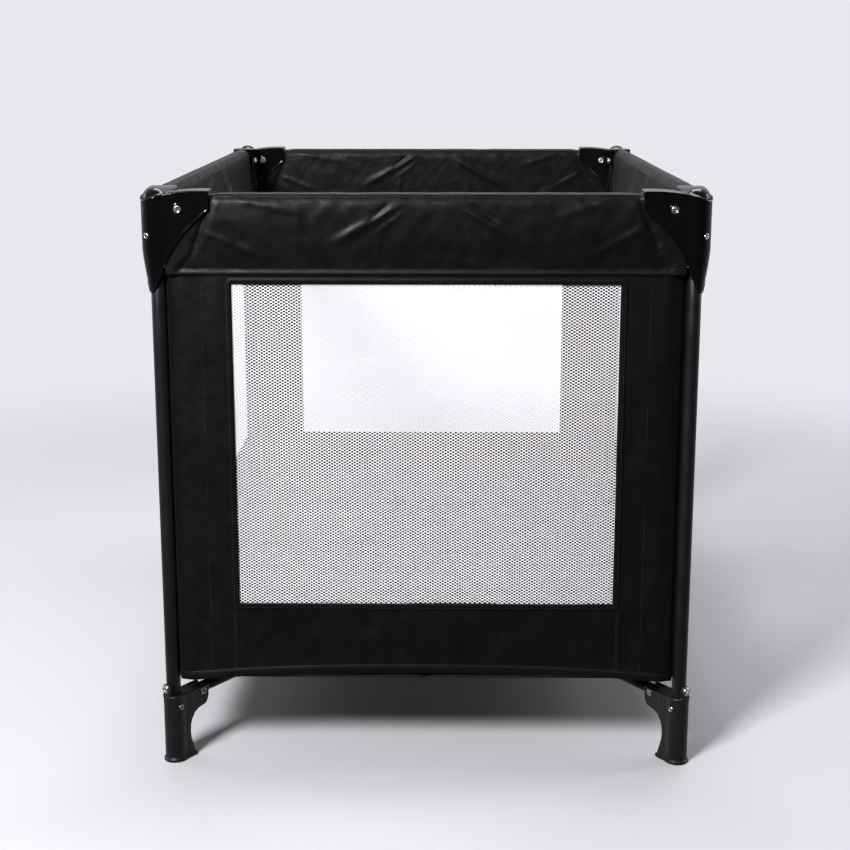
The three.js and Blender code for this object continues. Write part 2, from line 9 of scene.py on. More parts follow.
import bpy
import numpy as np
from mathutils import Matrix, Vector

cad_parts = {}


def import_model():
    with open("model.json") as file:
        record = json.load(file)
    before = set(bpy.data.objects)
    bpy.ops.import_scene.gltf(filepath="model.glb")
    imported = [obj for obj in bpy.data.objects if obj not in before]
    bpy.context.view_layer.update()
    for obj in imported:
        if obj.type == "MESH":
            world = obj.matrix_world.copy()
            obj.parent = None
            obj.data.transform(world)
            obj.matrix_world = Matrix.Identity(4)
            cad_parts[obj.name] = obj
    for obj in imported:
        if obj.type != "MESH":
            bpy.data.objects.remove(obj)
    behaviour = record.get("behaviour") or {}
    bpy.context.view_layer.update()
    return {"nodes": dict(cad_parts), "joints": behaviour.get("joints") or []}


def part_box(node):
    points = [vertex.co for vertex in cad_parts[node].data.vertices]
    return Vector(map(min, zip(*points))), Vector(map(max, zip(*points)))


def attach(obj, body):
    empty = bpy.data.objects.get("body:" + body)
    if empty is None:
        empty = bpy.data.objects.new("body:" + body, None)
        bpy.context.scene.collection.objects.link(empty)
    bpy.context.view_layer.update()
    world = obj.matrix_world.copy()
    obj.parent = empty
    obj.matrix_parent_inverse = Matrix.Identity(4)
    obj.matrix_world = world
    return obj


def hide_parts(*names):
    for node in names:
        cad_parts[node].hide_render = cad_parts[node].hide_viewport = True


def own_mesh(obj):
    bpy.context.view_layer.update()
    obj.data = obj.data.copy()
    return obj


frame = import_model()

MM = 0.001


# --- places taken from the frame

JOINTS = {joint["name"]: joint for joint in frame["joints"]}
CORNERS = {"front_left": (-1, -1), "front_right": (1, -1), "back_left": (-1, 1), "back_right": (1, 1)}


def box(node):
    low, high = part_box(node)
    return np.array(low), np.array(high)


def centre(node):
    low, high = box(node)
    return (low + high) / 2


def pivot(joint):
    return np.array(JOINTS[joint]["pos_m"])


HALF_X, HALF_Y = centre("leg_back_right")[:2]
LEG_RADIUS = (box("leg_back_right")[1] - box("leg_back_right")[0])[0] / 2
RAIL_Z = pivot("end_rail_front_left_fold")[2]
RAIL_INSET = pivot("end_rail_front_left_fold")[0] + HALF_X
RAIL_RADIUS = (box("end_rail_front_left")[1] - box("end_rail_front_left")[0])[2] / 2
BASE_Z = pivot("base_fold_back_right")[2]
DIAGONAL = math.hypot(HALF_X, HALF_Y)
INWARD = np.array([HALF_X, HALF_Y]) / DIAGONAL       # at every corner, in that corner's own axes
HUB_REACH = np.hypot(*pivot("base_fold_back_right")[:2])
FOOT_REACH = DIAGONAL - np.hypot(*pivot("leg_upright_back_right")[:2])
BASE_RADIUS = 8 * MM
TUBE_WALL = 1.2 * MM
CAP_SKIN = box("corner_cap_back_right")[1][0] - HALF_X
FLOOR_Z = box("floor_panel")[1][2]

# Each side: the turn about Z from the front, half its length, its distance from the centre, the leg
# it is fastened to, the axis along which its rails run, and its two rails.
SIDES = {
    "front": dict(turn=0.0, half=HALF_X, out=HALF_Y, body="leg_front_left", axis=(1, 0, 0),
                  rails=("end_rail_front_left", "end_rail_front_right")),
    "back": dict(turn=math.pi, half=HALF_X, out=HALF_Y, body="leg_back_left", axis=(1, 0, 0),
                 rails=("end_rail_back_right", "end_rail_back_left")),
    "right": dict(turn=math.pi / 2, half=HALF_Y, out=HALF_X, body="leg_front_right", axis=(0, 1, 0),
                  rails=("side_rail_right_front", "side_rail_right_back")),
    "left": dict(turn=-math.pi / 2, half=HALF_Y, out=HALF_X, body="leg_front_left", axis=(0, 1, 0),
                 rails=("side_rail_left_back", "side_rail_left_front")),
}


# --- materials


def smooth(a, low, high):
    t = np.clip((a - low) / (high - low), 0, 1)
    return t * t * (3 - 2 * t)


def map_range(tree, source, limits, interpolation="LINEAR"):
    """A node that takes (from, to) onto (low, high)."""
    made = tree.nodes.new("ShaderNodeMapRange")
    made.interpolation_type = interpolation
    for socket, value in zip(("From Min", "From Max", "To Min", "To Max"), limits):
        made.inputs[socket].default_value = value
    tree.links.new(source, made.inputs["Value"])
    return made.outputs["Result"]


class Finish:
    """A principled material whose nodes are wired up by short calls."""

    def __init__(self, name, color, roughness, **sockets):
        self.material = bpy.data.materials.new(name)
        self.material.use_nodes = True
        self.tree = self.material.node_tree
        self.shader = self.tree.nodes["Principled BSDF"]
        self.set("Base Color", (*color, 1))
        self.set("Roughness", roughness)
        for socket, value in sockets.items():
            self.set(socket.replace("_", " "), value)
        self.coordinates = self.tree.nodes.new("ShaderNodeTexCoord").outputs["Object"]
        self.height = None

    def set(self, socket, value):
        self.shader.inputs[socket].default_value = value

    def node(self, kind, **values):
        made = self.tree.nodes.new(kind)
        for key, value in values.items():
            setattr(made, key, value)
        return made

    def stretched(self, scale):
        made = self.node("ShaderNodeMapping")
        made.inputs["Scale"].default_value = scale
        self.tree.links.new(self.coordinates, made.inputs["Vector"])
        return made.outputs["Vector"]

    def noise(self, size, detail=3, scale=(1, 1, 1), rough=0.5):
        """Noise whose lumps are about `size` metres across."""
        made = self.node("ShaderNodeTexNoise")
        made.inputs["Scale"].default_value = 1 / size
        made.inputs["Detail"].default_value = detail
        made.inputs["Roughness"].default_value = rough
        self.tree.links.new(self.stretched(scale), made.inputs["Vector"])
        return made.outputs["Fac"]

    def waves(self, size, direction, distortion=0.0):
        """Parallel threads, `size` metres apart."""
        made = self.node("ShaderNodeTexWave", bands_direction=direction)
        made.inputs["Scale"].default_value = 2 * math.pi / size / 20
        made.inputs["Distortion"].default_value = distortion
        self.tree.links.new(self.coordinates, made.inputs["Vector"])
        return made.outputs["Fac"]

    def vary_roughness(self, fac, low, high):
        spread = map_range(self.tree, fac, (0.3, 0.7, low, high))
        self.tree.links.new(spread, self.shader.inputs["Roughness"])
        return self

    def vary_color(self, fac, low, high, start=0.3, end=0.7):
        ramp = self.node("ShaderNodeValToRGB")
        for stop, place, color in zip(ramp.color_ramp.elements, (start, end), (low, high)):
            stop.position = place
            stop.color = (*color, 1)
        self.tree.links.new(fac, ramp.inputs["Fac"])
        self.tree.links.new(ramp.outputs["Color"], self.shader.inputs["Base Color"])
        return self

    def bump(self, fac, depth, strength=1.0):
        """Adds a height of `depth` metres, over the bumps that are there already."""
        made = self.node("ShaderNodeBump")
        made.inputs["Distance"].default_value = depth
        made.inputs["Strength"].default_value = strength
        self.tree.links.new(fac, made.inputs["Height"])
        if self.height is not None:
            self.tree.links.new(self.height, made.inputs["Normal"])
        self.height = made.outputs["Normal"]
        self.tree.links.new(self.height, self.shader.inputs["Normal"])
        return self


def hard(name, color, roughness, patches, grain, depth, strength, **sockets):
    """A moulded, coated or plated finish. Roughness is its base, low and high; patches and grain are
    the size and detail of the noise behind the gloss and the surface."""
    made = Finish(name, color, roughness[0], **sockets)
    made.vary_roughness(made.noise(*patches), *roughness[1:])
    return made.bump(made.noise(*grain), depth, strength).material


def woven(name, color, lighter, roughness, crinkle, thread=0.55 * MM, **sockets):
    """A plain weave: a fine grain of bumps at the size of a thread, soft crinkles and slight unevenness of
    dye.
    """
    made = Finish(name, color, roughness, **sockets)
    made.vary_color(made.noise(6 * MM, 6, rough=0.7), color, lighter)
    made.vary_roughness(made.noise(22 * MM, 4), roughness - 0.07, roughness + 0.08)
    made.bump(made.noise(26 * MM, 5, (1, 1, 1.6), 0.6), crinkle, 0.5)
    made.bump(made.noise(thread, 1), 0.08 * MM, 0.5)
    return made


def nylon():
    made = woven("nylon", (0.0026, 0.0022, 0.0027), (0.0046, 0.0039, 0.0047), 0.44, 1.1 * MM,
                 Sheen_Weight=0.03, Sheen_Roughness=0.4, Specular_IOR_Level=0.17)
    return made.material


def mattress_fabric():
    made = woven("mattress fabric", (0.0032, 0.0030, 0.0034), (0.0050, 0.0047, 0.0053), 0.74,
                 0.9 * MM, Sheen_Weight=0.03, Sheen_Roughness=0.5, Specular_IOR_Level=0.12)
    return made.material


def netting():
    made = Finish("netting", (0.90, 0.90, 0.93), 0.75, Sheen_Weight=0.15, Specular_IOR_Level=0.3)
    made.vary_color(made.noise(1.2 * MM, 3), (0.86, 0.86, 0.90), (0.95, 0.95, 0.97))
    return made.bump(made.noise(0.5 * MM, 1), 0.1 * MM, 0.8).material


def webbing():
    made = Finish("webbing", (0.012, 0.012, 0.013), 0.7, Sheen_Weight=0.3)
    made.vary_color(made.noise(2 * MM, 4), (0.009, 0.009, 0.010), (0.018, 0.018, 0.020))
    made.bump(made.waves(1.6 * MM, "Y", 0.3), 0.25 * MM, 0.8)
    return made.bump(made.waves(2.4 * MM, "X", 0.3), 0.2 * MM, 0.6).material


def thread():
    made = Finish("thread", (0.016, 0.015, 0.017), 0.55, Sheen_Weight=0.2)
    made.vary_color(made.noise(3 * MM, 3), (0.012, 0.011, 0.013), (0.024, 0.022, 0.025))
    return made.bump(made.noise(0.4 * MM, 1), 0.08 * MM, 0.8).material


FINISH = {
    "powder_coat": hard("powder coat", (0.006, 0.006, 0.007), (0.34, 0.30, 0.42), (30 * MM, 3),
                        (0.7 * MM, 2), 0.05 * MM, 0.6, Specular_IOR_Level=0.5),
    "gloss_plastic": hard("gloss plastic", (0.0025, 0.0025, 0.003), (0.10, 0.07, 0.16), (14 * MM, 5),
                          (9 * MM, 1), 0.12 * MM, 0.5, Specular_IOR_Level=0.5),
    "satin_plastic": hard("satin plastic", (0.008, 0.008, 0.009), (0.40, 0.34, 0.48), (18 * MM, 3),
                          (0.9 * MM, 2), 0.06 * MM, 0.7, Specular_IOR_Level=0.45),
    "zinc": hard("zinc", (0.78, 0.79, 0.81), (0.25, 0.18, 0.36), (1.5 * MM, 3), (0.8 * MM, 2), 0.03 * MM,
                 0.5, Metallic=1.0),
    "nylon": nylon(), "mesh": netting(), "mattress_fabric": mattress_fabric(), "webbing": webbing(),
}
THREAD = thread()


# --- making pieces


def mesh_object(name, points, faces):
    mesh = bpy.data.meshes.new(name)
    mesh.from_pydata(np.asarray(points, float).tolist(), [], [list(map(int, face)) for face in faces])
    made = bpy.data.objects.new(name, mesh)
    bpy.context.scene.collection.objects.link(made)
    return made


def piece(name, points, faces, slot, body=None, replaces=(), normals=None, material=None):
    """A smooth-shaded mesh with a finish, riding on a body."""
    made = mesh_object(name, points, faces)
    made.data.validate()
    made.data.materials.append(material or FINISH[slot])
    made.data.shade_smooth()
    if normals is not None:
        made.data.normals_split_custom_set_from_vertices(np.asarray(normals, float).tolist())
    if body:
        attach(made, body)
    if replaces:
        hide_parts(*replaces)
    return made


def grid_faces(rows, columns, wrap_rows=False, wrap_columns=False, keep=None):
    """Quads over points stored row by row; keep(i, j) leaves cells out."""
    faces = []
    for i in range(rows if wrap_rows else rows - 1):
        for j in range(columns if wrap_columns else columns - 1):
            if keep is None or keep(i, j):
                a, b = i, (i + 1) % rows
                c, d = j, (j + 1) % columns
                faces.append((a * columns + c, a * columns + d, b * columns + d, b * columns + c))
    return faces


def axes_about(direction):
    along = np.asarray(direction, float) / np.linalg.norm(direction)
    side = np.cross(along, (0, 0, 1) if abs(along[2]) < 0.9 else (1, 0, 0))
    side /= np.linalg.norm(side)
    return along, side, np.cross(along, side)


def lathe(profile, start, direction, sides=40):
    """Points and faces of a solid turned about a line, from (radius, distance) pairs."""
    along, side, up = axes_about(direction)
    angles = np.linspace(0, 2 * math.pi, sides, endpoint=False)
    ring = np.outer(np.cos(angles), side) + np.outer(np.sin(angles), up)
    rows = [np.asarray(start) + distance * along + radius * ring for radius, distance in profile]
    return np.concatenate(rows), grid_faces(len(profile), sides, wrap_columns=True)


def tube(name, start, end, radius, slot, body, replaces):
    """An open tube with eased rims."""
    start, end = np.asarray(start, float), np.asarray(end, float)
    length = np.linalg.norm(end - start)
    ease = 0.35 * MM
    inner = radius - TUBE_WALL
    outside = [(radius, length * share) for share in (0.25, 0.5, 0.75)]
    profile = [(inner, ease), (inner + ease, 0), (radius - ease, 0), (radius, ease), *outside,
               (radius, length - ease), (radius - ease, length), (inner + ease, length),
               (inner, length - ease)]
    points, _ = lathe(profile, start, end - start, 48)
    faces = grid_faces(len(profile), 48, wrap_rows=True, wrap_columns=True)
    return piece(name, points, faces, slot, body, replaces)


def joined(parts):
    """One mesh's points and faces from several."""
    points, faces, count = [], [], 0
    for part_points, part_faces in parts:
        points.append(np.asarray(part_points))
        faces += [tuple(i + count for i in face) for face in part_faces]
        count += len(part_points)
    return np.concatenate(points), faces


# --- moulded solids

def round_max(a, b, radius):
    """The maximum, with the edge where the two meet rounded off."""
    h = np.maximum(radius - np.abs(a - b), 0) / radius
    return np.maximum(a, b) + h * h * radius / 4


def round_min(a, b, radius):
    return -round_max(-a, -b, radius)


def slab(u, low, high):
    return np.abs(u - (low + high) / 2) - (high - low) / 2


def rectangle(u, v, low_u, high_u, low_v, high_v, corner=0.0):
    a, b = slab(u, low_u, high_u) + corner, slab(v, low_v, high_v) + corner
    outside = np.hypot(np.maximum(a, 0), np.maximum(b, 0))
    return outside + np.minimum(np.maximum(a, b), 0) - corner


def polygon(u, v, outline):
    """Signed distance to a closed outline, negative inside."""
    best = np.full(np.shape(u), 1e9)
    inside = np.zeros(np.shape(u), bool)
    for (au, av), (bu, bv) in zip(outline, outline[1:] + outline[:1]):
        eu, ev = bu - au, bv - av
        share = np.clip(((u - au) * eu + (v - av) * ev) / (eu * eu + ev * ev), 0, 1)
        best = np.minimum(best, (u - au - share * eu) ** 2 + (v - av - share * ev) ** 2)
        if ev:
            crosses = ((av > v) != (bv > v)) & (u < eu * (v - av) / ev + au)
            inside ^= crosses
    return np.where(inside, -1, 1) * np.sqrt(best)


def bezier(start, pull, end, steps):
    t = np.linspace(0, 1, steps + 1)[:, None]
    start, pull, end = map(np.array, (start, pull, end))
    return [tuple(p) for p in (1 - t) ** 2 * start + 2 * t * (1 - t) * pull + t * t * end]


def skin(field, low, high, step):
    """The surface where field is zero, as points, quads and normals, by a surface net."""
    axes = [np.arange(a, b + step, step) for a, b in zip(low, high)]
    inside = field(*np.meshgrid(*axes, indexing="ij")) < 0
    corners = sum(inside[i:inside.shape[0] - 1 + i, j:inside.shape[1] - 1 + j,
                         k:inside.shape[2] - 1 + k].astype(int)
                  for i in (0, 1) for j in (0, 1) for k in (0, 1))
    mixed = (corners > 0) & (corners < 8)
    number = np.full(mixed.shape, -1)
    number[mixed] = np.arange(mixed.sum())
    cells = np.argwhere(mixed)
    points = np.array(low) + (cells + 0.5) * step
    home = points.copy()
    for _ in range(6):
        normals, value = slope(field, points), field(*points.T)
        points = points - normals * value[:, None]
        points = home + np.clip(points - home, -0.8 * step, 0.8 * step)
    faces = []
    for axis in range(3):
        first = np.swapaxes(inside, 0, axis)
        ids = np.swapaxes(number, 0, axis)
        change = first[:-1, 1:-1, 1:-1] != first[1:, 1:-1, 1:-1]
        i, j, k = np.argwhere(change).T
        quad = np.stack([ids[i, j, k], ids[i, j + 1, k], ids[i, j + 1, k + 1], ids[i, j, k + 1]], 1)
        # swapping axes turns the handedness round for Y and Z
        flip = first[i, j + 1, k + 1] != (axis > 0)
        quad[~flip] = quad[~flip][:, ::-1]
        faces.append(quad)
    return points, np.concatenate(faces), slope(field, points)


def slope(field, points):
    e = 0.05
    x, y, z = points.T
    found = np.stack([field(x + e, y, z) - field(x - e, y, z), field(x, y + e, z) - field(x, y - e, z),
                      field(x, y, z + e) - field(x, y, z - e)], 1)
    return found / np.maximum(np.linalg.norm(found, axis=1, keepdims=True), 1e-9)


def at_corner(points, corner, height=0.0):
    """From a corner's own axes, which point into the cot, to the row frame. Millimetres in."""
    sign_x, sign_y = CORNERS[corner]
    moved = np.asarray(points, float) * MM * (-sign_x, -sign_y, 1)
    return moved + (sign_x * HALF_X, sign_y * HALF_Y, height)


def corner_piece(name, shape, corner, height, slot, replaces):
    points, faces, normals = shape
    sign_x, sign_y = CORNERS[corner]
    if sign_x * sign_y < 0:
        faces = faces[:, ::-1]
    return piece(name, at_corner(points, corner, height), faces, slot, f"leg_{corner}", replaces,
                 normals * (-sign_x, -sign_y, 1))


# --- corner caps

CAP_ARM = 72.0
CAP_WALL = 2.5
CAP_CEILING = 19.5
DOME_RADIUS, DOME_RISE = 17.3, 9.9
CAP_TOP_SKIN, CAP_TIP_SKIN = 19.3, 11.6          # leg axis to the outer round, top and tip
CAP_LOWER = [(CAP_ARM, -2), (66, -6), (52, -19), (38, -33), (27, -48), (17, -64), (10, -79), (5, -92),
             (0, -103), (-4, -109.5)]
CAP_UPPER = bezier((-20, 9.0), (14, 26.5), (CAP_ARM, 24.5), 8)
CAP_PROFILE = CAP_LOWER + [(-9, -113.5), (-40, -116), (-40, 3)] + CAP_UPPER
LEG_BORE = LEG_RADIUS / MM + 0.3


def cap_field(x, y, z):
    skin_at = CAP_SKIN / MM
    taper = CAP_TIP_SKIN + (CAP_TOP_SKIN - CAP_TIP_SKIN) * smooth(z, -118, -48)
    face = np.minimum(taper, skin_at)
    arm_x = np.maximum(rectangle(x, y, 0, CAP_ARM, -skin_at, skin_at, 1.5), -y - face)
    arm_y = np.maximum(rectangle(x, y, -skin_at, skin_at, 0, CAP_ARM, 1.5), -x - face)
    plan = round_min(np.minimum(arm_x, arm_y), np.hypot(x, y) - taper, 2.0)
    profile = polygon(round_max(x, y, 8), z, CAP_PROFILE)
    lip = 0.75 * np.exp(-((profile + 1.6) / 1.3) ** 2)
    body = round_max(plan - lip, profile, 2.6)
    body = round_min(body, np.sqrt(x * x + y * y + (z - DOME_RISE) ** 2) - DOME_RADIUS, 2.5)
    for u, v in ((x, y), (y, x)):
        boss = round_max(np.hypot(u - RAIL_INSET / MM, z) - 7.6, np.abs(v) - skin_at - 0.5, 0.8)
        body = np.minimum(body, boss)
    inside = skin_at - CAP_WALL
    bore = np.maximum(np.hypot(x, y) - LEG_BORE, z - DOME_RISE)
    for u, v in ((x, y), (y, x)):
        channel = np.maximum(rectangle(u, v, LEG_RADIUS / MM + 1, 200, -inside, inside), z - CAP_CEILING)
        hole = np.hypot(u - RAIL_INSET / MM, z) - 3.2
        bore = np.minimum(bore, np.minimum(channel, hole))
    return round_max(body, -bore, 0.8)


def corner_caps():
    shape = skin(cap_field, (-22, -22, -118), (75, 75, 30), 1.4)
    for corner in CORNERS:
        corner_piece(f"cap_{corner}", shape, corner, RAIL_Z, "gloss_plastic", [f"corner_cap_{corner}"])


# --- feet

FOOT_TOP, FOOT_HALF, FOOT_ROUND, FOOT_SOLE = 98.0, 13.5, 14.5, 5.0
FOOT_OUTLINE = [(0, -8), (30, -8), (28, 4), (24, 16), (20, 28), (19, 38), (20, 49), (23, 56), (28, 61),
                (37, 66), (50, 68), (55, 71), (58, 78), (59, 88), (58, 95), (55, FOOT_TOP), (0, FOOT_TOP)]
BOSS_Z, BOSS_RADIUS = 109.0, 7.5
EAR_STEP = 26.0


def foot_field(x, y, z):
    d, c = x * INWARD[0] + y * INWARD[1], y * INWARD[0] - x * INWARD[1]
    half = FOOT_HALF - 1.3 * smooth(d, EAR_STEP - 1, EAR_STEP + 1.5)
    web = round_max(polygon(d, z, FOOT_OUTLINE), np.abs(c) - half, 3.0)
    column = round_max(np.hypot(d, c) - FOOT_ROUND, z - FOOT_TOP, 1.2)
    rim = 2.2 * (1 - smooth(z, 3.4, 5.6)) + 1.0 * np.exp(-((z - 96) / 1.8) ** 2)
    body = round_min(web, column, 3) - rim
    boss = round_max(np.hypot(c, z - BOSS_Z) - BOSS_RADIUS, slab(d, -15.2, -9.5), 1.2)
    neck = np.maximum(slab(d, -14.0, -9.5), rectangle(c, z, -6.5, 6.5, 90, BOSS_Z))
    body = round_min(body, np.minimum(boss, neck), 1.5)
    slot_low = BASE_Z / MM - 12.6
    socket = np.maximum(np.hypot(x, y) - LEG_BORE, FOOT_SOLE - z)
    slot = np.maximum(np.abs(c) - 8.6, np.maximum(FOOT_REACH / MM - 12.6 - d, slot_low - z))
    pin = np.hypot(d - FOOT_REACH / MM, z - BASE_Z / MM) - 3.2
    body = round_max(body, -np.minimum(np.minimum(socket, slot), pin), 0.8)
    return round_max(body, -z, 0.9)


def feet():
    reach = 64
    shape = skin(foot_field, (-22, -22, -3), (reach, reach, 119), 1.4)
    for corner in CORNERS:
        corner_piece(f"foot_shoe_{corner}", shape, corner, 0.0, "satin_plastic", [f"foot_{corner}"])


# --- hub

HUB_TOP = box("base_hub")[1][2] / MM
HUB_PROFILE = [(-30, -1), (24, -1), (24, 4), (17, 13), (14, 30), (13, 68), (30, 77), (32, 80), (32, 102),
               (28, 106), (15, 111), (15, 119), (28, 124), (30, 125), (30, 127.7), (12, 127.7),
               (12, HUB_TOP), (-30, HUB_TOP)]
HUB_EAR = [(22, 80), (53, 80), (59, 84), (60, 92), (58, 99), (54, 102), (22, 102)]


def hub_field(x, y, z):
    body = round_max(polygon(np.hypot(x, y), z, HUB_PROFILE), -z, 0.6)
    for across in (1, -1):
        e = np.abs(x * INWARD[0] + across * y * INWARD[1])
        c = np.abs(y * INWARD[0] - across * x * INWARD[1])
        ear = round_max(polygon(e, z, HUB_EAR), slab(c, 8.6, 12.6), 1.2)
        pin = np.maximum(np.hypot(e - HUB_REACH / MM, z - BASE_Z / MM) - 3, c - 13.6)
        body = round_min(body, np.minimum(ear, pin), 1.5)
    return body


def hub():
    points, faces, normals = skin(hub_field, (-64, -64, -3), (64, 64, HUB_TOP + 3), 1.6)
    piece("hub_body", points * MM, faces, "satin_plastic", "base_hub", ["base_hub"], normals)


# --- tubes

def tubes():
    for corner in CORNERS:
        x, y, _ = centre(f"leg_{corner}")
        low, high = box(f"leg_{corner}")
        tube(f"leg_tube_{corner}", (x, y, low[2]), (x, y, high[2]), LEG_RADIUS, "powder_coat",
             f"leg_{corner}", [f"leg_{corner}"])
        sign = np.array(CORNERS[corner], float)
        outward = np.append(sign * INWARD, 0)
        rise = np.array([0, 0, BASE_Z])
        overhang = 9 * MM
        tube(f"base_bar_{corner}", outward * (DIAGONAL - FOOT_REACH + overhang) + rise,
             outward * (HUB_REACH - overhang) + rise, BASE_RADIUS, "powder_coat",
             f"base_tube_{corner}", [f"base_tube_{corner}"])
    for side in SIDES.values():
        for rail in side["rails"]:
            low, high = box(rail)
            middle = (low + high) / 2
            axis = int(side["axis"][1])
            start, end = middle.copy(), middle.copy()
            start[axis], end[axis] = low[axis], high[axis]
            tube(f"{rail}_bar", start, end, RAIL_RADIUS, "powder_coat", rail, [rail])


# --- rivets and screws

RIVET_HEAD = [(0.0, -3.2), (2.3, -3.0), (2.6, 0.5), (3.0, 1.2), (3.8, 1.5), (4.6, 1.2), (5.2, 0.55),
              (5.4, 0.0), (5.4, -0.2), (3.0, -0.2)]


CAP_SCREW_DROP = 34.5             # from the rails' axes down to the cap's screw
BOSS_SCREW_OUT, FOOT_SCREW_OUT, FOOT_SCREW_Z = 15.4, 14.3, 81.0
WASHER = [(2.0, 0.0), (6.2, 0.0), (6.4, 0.4), (6.2, 0.8), (2.0, 0.8)]


def head(at, direction, scale=1.0):
    return lathe([(r * scale * MM, h * scale * MM) for r, h in RIVET_HEAD], at, direction, 28)


def shank(start, end, radius=3.0 * MM):
    length = np.linalg.norm(np.asarray(end) - start)
    return lathe([(0, 0), (radius, 0), (radius, length), (0, length)], start, np.asarray(end) - start, 20)


def through_rivet(name, middle, axis, half, body, node):
    """A tubular rivet with a rolled head past each face of what it holds."""
    axis = np.asarray(axis, float)
    a, b = middle - axis * half, middle + axis * half
    inset = 2.0 * MM
    parts = [head(b, axis), head(a, -axis), shank(a + axis * inset, b - axis * inset)]
    piece(name, *joined(parts), "zinc", body, [node])


def fasteners():
    cap_half = CAP_SKIN + 0.8 * MM
    for corner, (sign_x, sign_y) in CORNERS.items():
        leg = np.array([sign_x * HALF_X, sign_y * HALF_Y, 0])
        body = f"leg_{corner}"
        outward = np.append(np.array([sign_x, sign_y]) * INWARD, 0)
        across = np.array([-outward[1], outward[0], 0])
        rivets = [
            ("end_rivet", "end_rail_rivet", (-sign_x * RAIL_INSET, 0, RAIL_Z), (0, 1, 0), cap_half),
            ("side_rivet", "side_rail_rivet", (0, -sign_y * RAIL_INSET, RAIL_Z), (1, 0, 0), cap_half),
            ("foot_rivet", "base_rivet", (0, 0, BASE_Z) - outward * FOOT_REACH, across,
             (FOOT_HALF - 1.1) * MM),
        ]
        for label, node, offset, axis, half in rivets:
            through_rivet(f"{label}_{corner}", leg + offset, axis, half, body, f"{node}_{corner}")
        cap_screw = leg + outward * (CAP_TOP_SKIN + 0.2) * MM + (0, 0, RAIL_Z - CAP_SCREW_DROP * MM)
        boss_screw = leg + outward * BOSS_SCREW_OUT * MM + (0, 0, BOSS_Z * MM)
        washer = [(radius * MM, height * MM) for radius, height in WASHER]
        parts = [head(cap_screw, outward, 0.75), head(boss_screw + outward * 0.5 * MM, outward, 0.85),
                 lathe(washer, boss_screw - outward * 0.2 * MM, outward, 28)]
        for side in (1, -1):
            at = leg + side * across * FOOT_SCREW_OUT * MM + (0, 0, FOOT_SCREW_Z * MM)
            parts.append(head(at, side * across, 0.75))
        piece(f"screws_{corner}", *joined(parts), "zinc", body)


# --- sides


def on_side(side, points):
    """From a side's own (along, outwards, height) to the row frame, metres in and out."""
    side = SIDES[side]
    u, w, z = np.asarray(points, float).T
    x, y = u, -(side["out"] + w)
    cos, sin = math.cos(side["turn"]), math.sin(side["turn"])
    return np.stack([x * cos - y * sin, x * sin + y * cos, z], 1)


def crumple(made, side):
    """Gives a side's fabric a mesh of its own."""
    side = SIDES[side]
    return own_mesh(made)


def thicken(made, thickness):
    solid = made.modifiers.new("thickness", "SOLIDIFY")
    solid.thickness = thickness
    solid.offset = 0.0


def is_long(half):
    """Whether half a side's length, in millimetres, is that of a long side."""
    return half > HALF_Y / MM - 1


def outwards(side):
    return on_side(side, [(0, 1, 0)])[0] - on_side(side, [(0, 0, 0)])[0]


def ride_side(made, side):
    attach(made, SIDES[side]["body"])
    return crumple(made, side)


def smoothed(made):
    smoother = made.modifiers.new("smoother", "SUBSURF")
    smoother.levels = smoother.render_levels = 1


def side_fabric(name, points, faces, slot, side, replaces=(), thickness=0.0):
    made = piece(name, on_side(side, points), faces, slot, None, replaces)
    if thickness:
        thicken(made, thickness)
    return ride_side(made, side)


def stitches(path, outward, length=3.0 * MM, gap=1.2 * MM, width=0.5 * MM):
    """Short raised threads along a path: a flat lozenge with a ridge for each stitch."""
    path = np.asarray(path, float)
    outward = np.asarray(outward, float)
    legs = np.linalg.norm(np.diff(path, axis=0), axis=1)
    travelled = np.concatenate([[0], np.cumsum(legs)])
    starts = np.arange(0, travelled[-1] - length, length + gap)
    a, b = (np.stack([np.interp(at, travelled, path[:, i]) for i in range(3)], 1)
            for at in (starts, starts + length))
    along = (b - a) / np.linalg.norm(b - a, axis=1, keepdims=True)
    side = np.cross(along, outward)
    side /= np.linalg.norm(side, axis=1, keepdims=True)
    middle = (a + b) / 2
    rise = outward * width * 0.8
    points = np.stack([a, middle + side * width / 2, b, middle - side * width / 2,
                       a * 0.72 + b * 0.28 + rise, a * 0.28 + b * 0.72 + rise], 1).reshape(-1, 3)
    faces = []
    for i in range(0, len(points), 6):
        faces += [(i, i + 1, i + 4), (i + 1, i + 5, i + 4), (i + 1, i + 2, i + 5),
                  (i + 2, i + 3, i + 5), (i + 3, i + 4, i + 5), (i + 3, i, i + 4),
                  (i, i + 3, i + 2, i + 1)]
    return points, faces


def sewn_rows(label, side, paths):
    """One piece with a row of stitches along each path on a side."""
    parts = [stitches(path, outwards(side)) for path in paths]
    made = piece(f"{label}_stitches_{side}", *joined(parts), "nylon", None, material=THREAD)
    ride_side(made, side)


# --- padded rail covers

COVER_THICKNESS = 1.4 * MM
COVER_SECTION = [(13.2, -86.5), (14.6, -70), (17.6, -48), (18.6, -22), (18.2, -4), (17.0, 9), (13.0, 16.5),
                 (5.0, 20.3), (-5.0, 20.3), (-12.0, 17.0), (-14.8, 8), (-15.2, -20), (-15.0, -52),
                 (-14.0, -86.5)]
COVER_STEP = 4.0
TUCK_WIDTH, TUCK_TOP = 13.9, 18.4
TUCK_LENGTH = 50.0
# Where the cover starts to stand free of the tuck: height from the rail, distance from the leg.
FOLD_LINE = [(-86.5, 20), (-80, 28), (-56, 50), (-20, 64), (0, 73), (17, 77), (20.5, 79)]
OUTER_END, INNER_END = 12.5, 16.5
LONG_SIDE_RISE = 3.5              # how much fuller the long sides stand over their rails
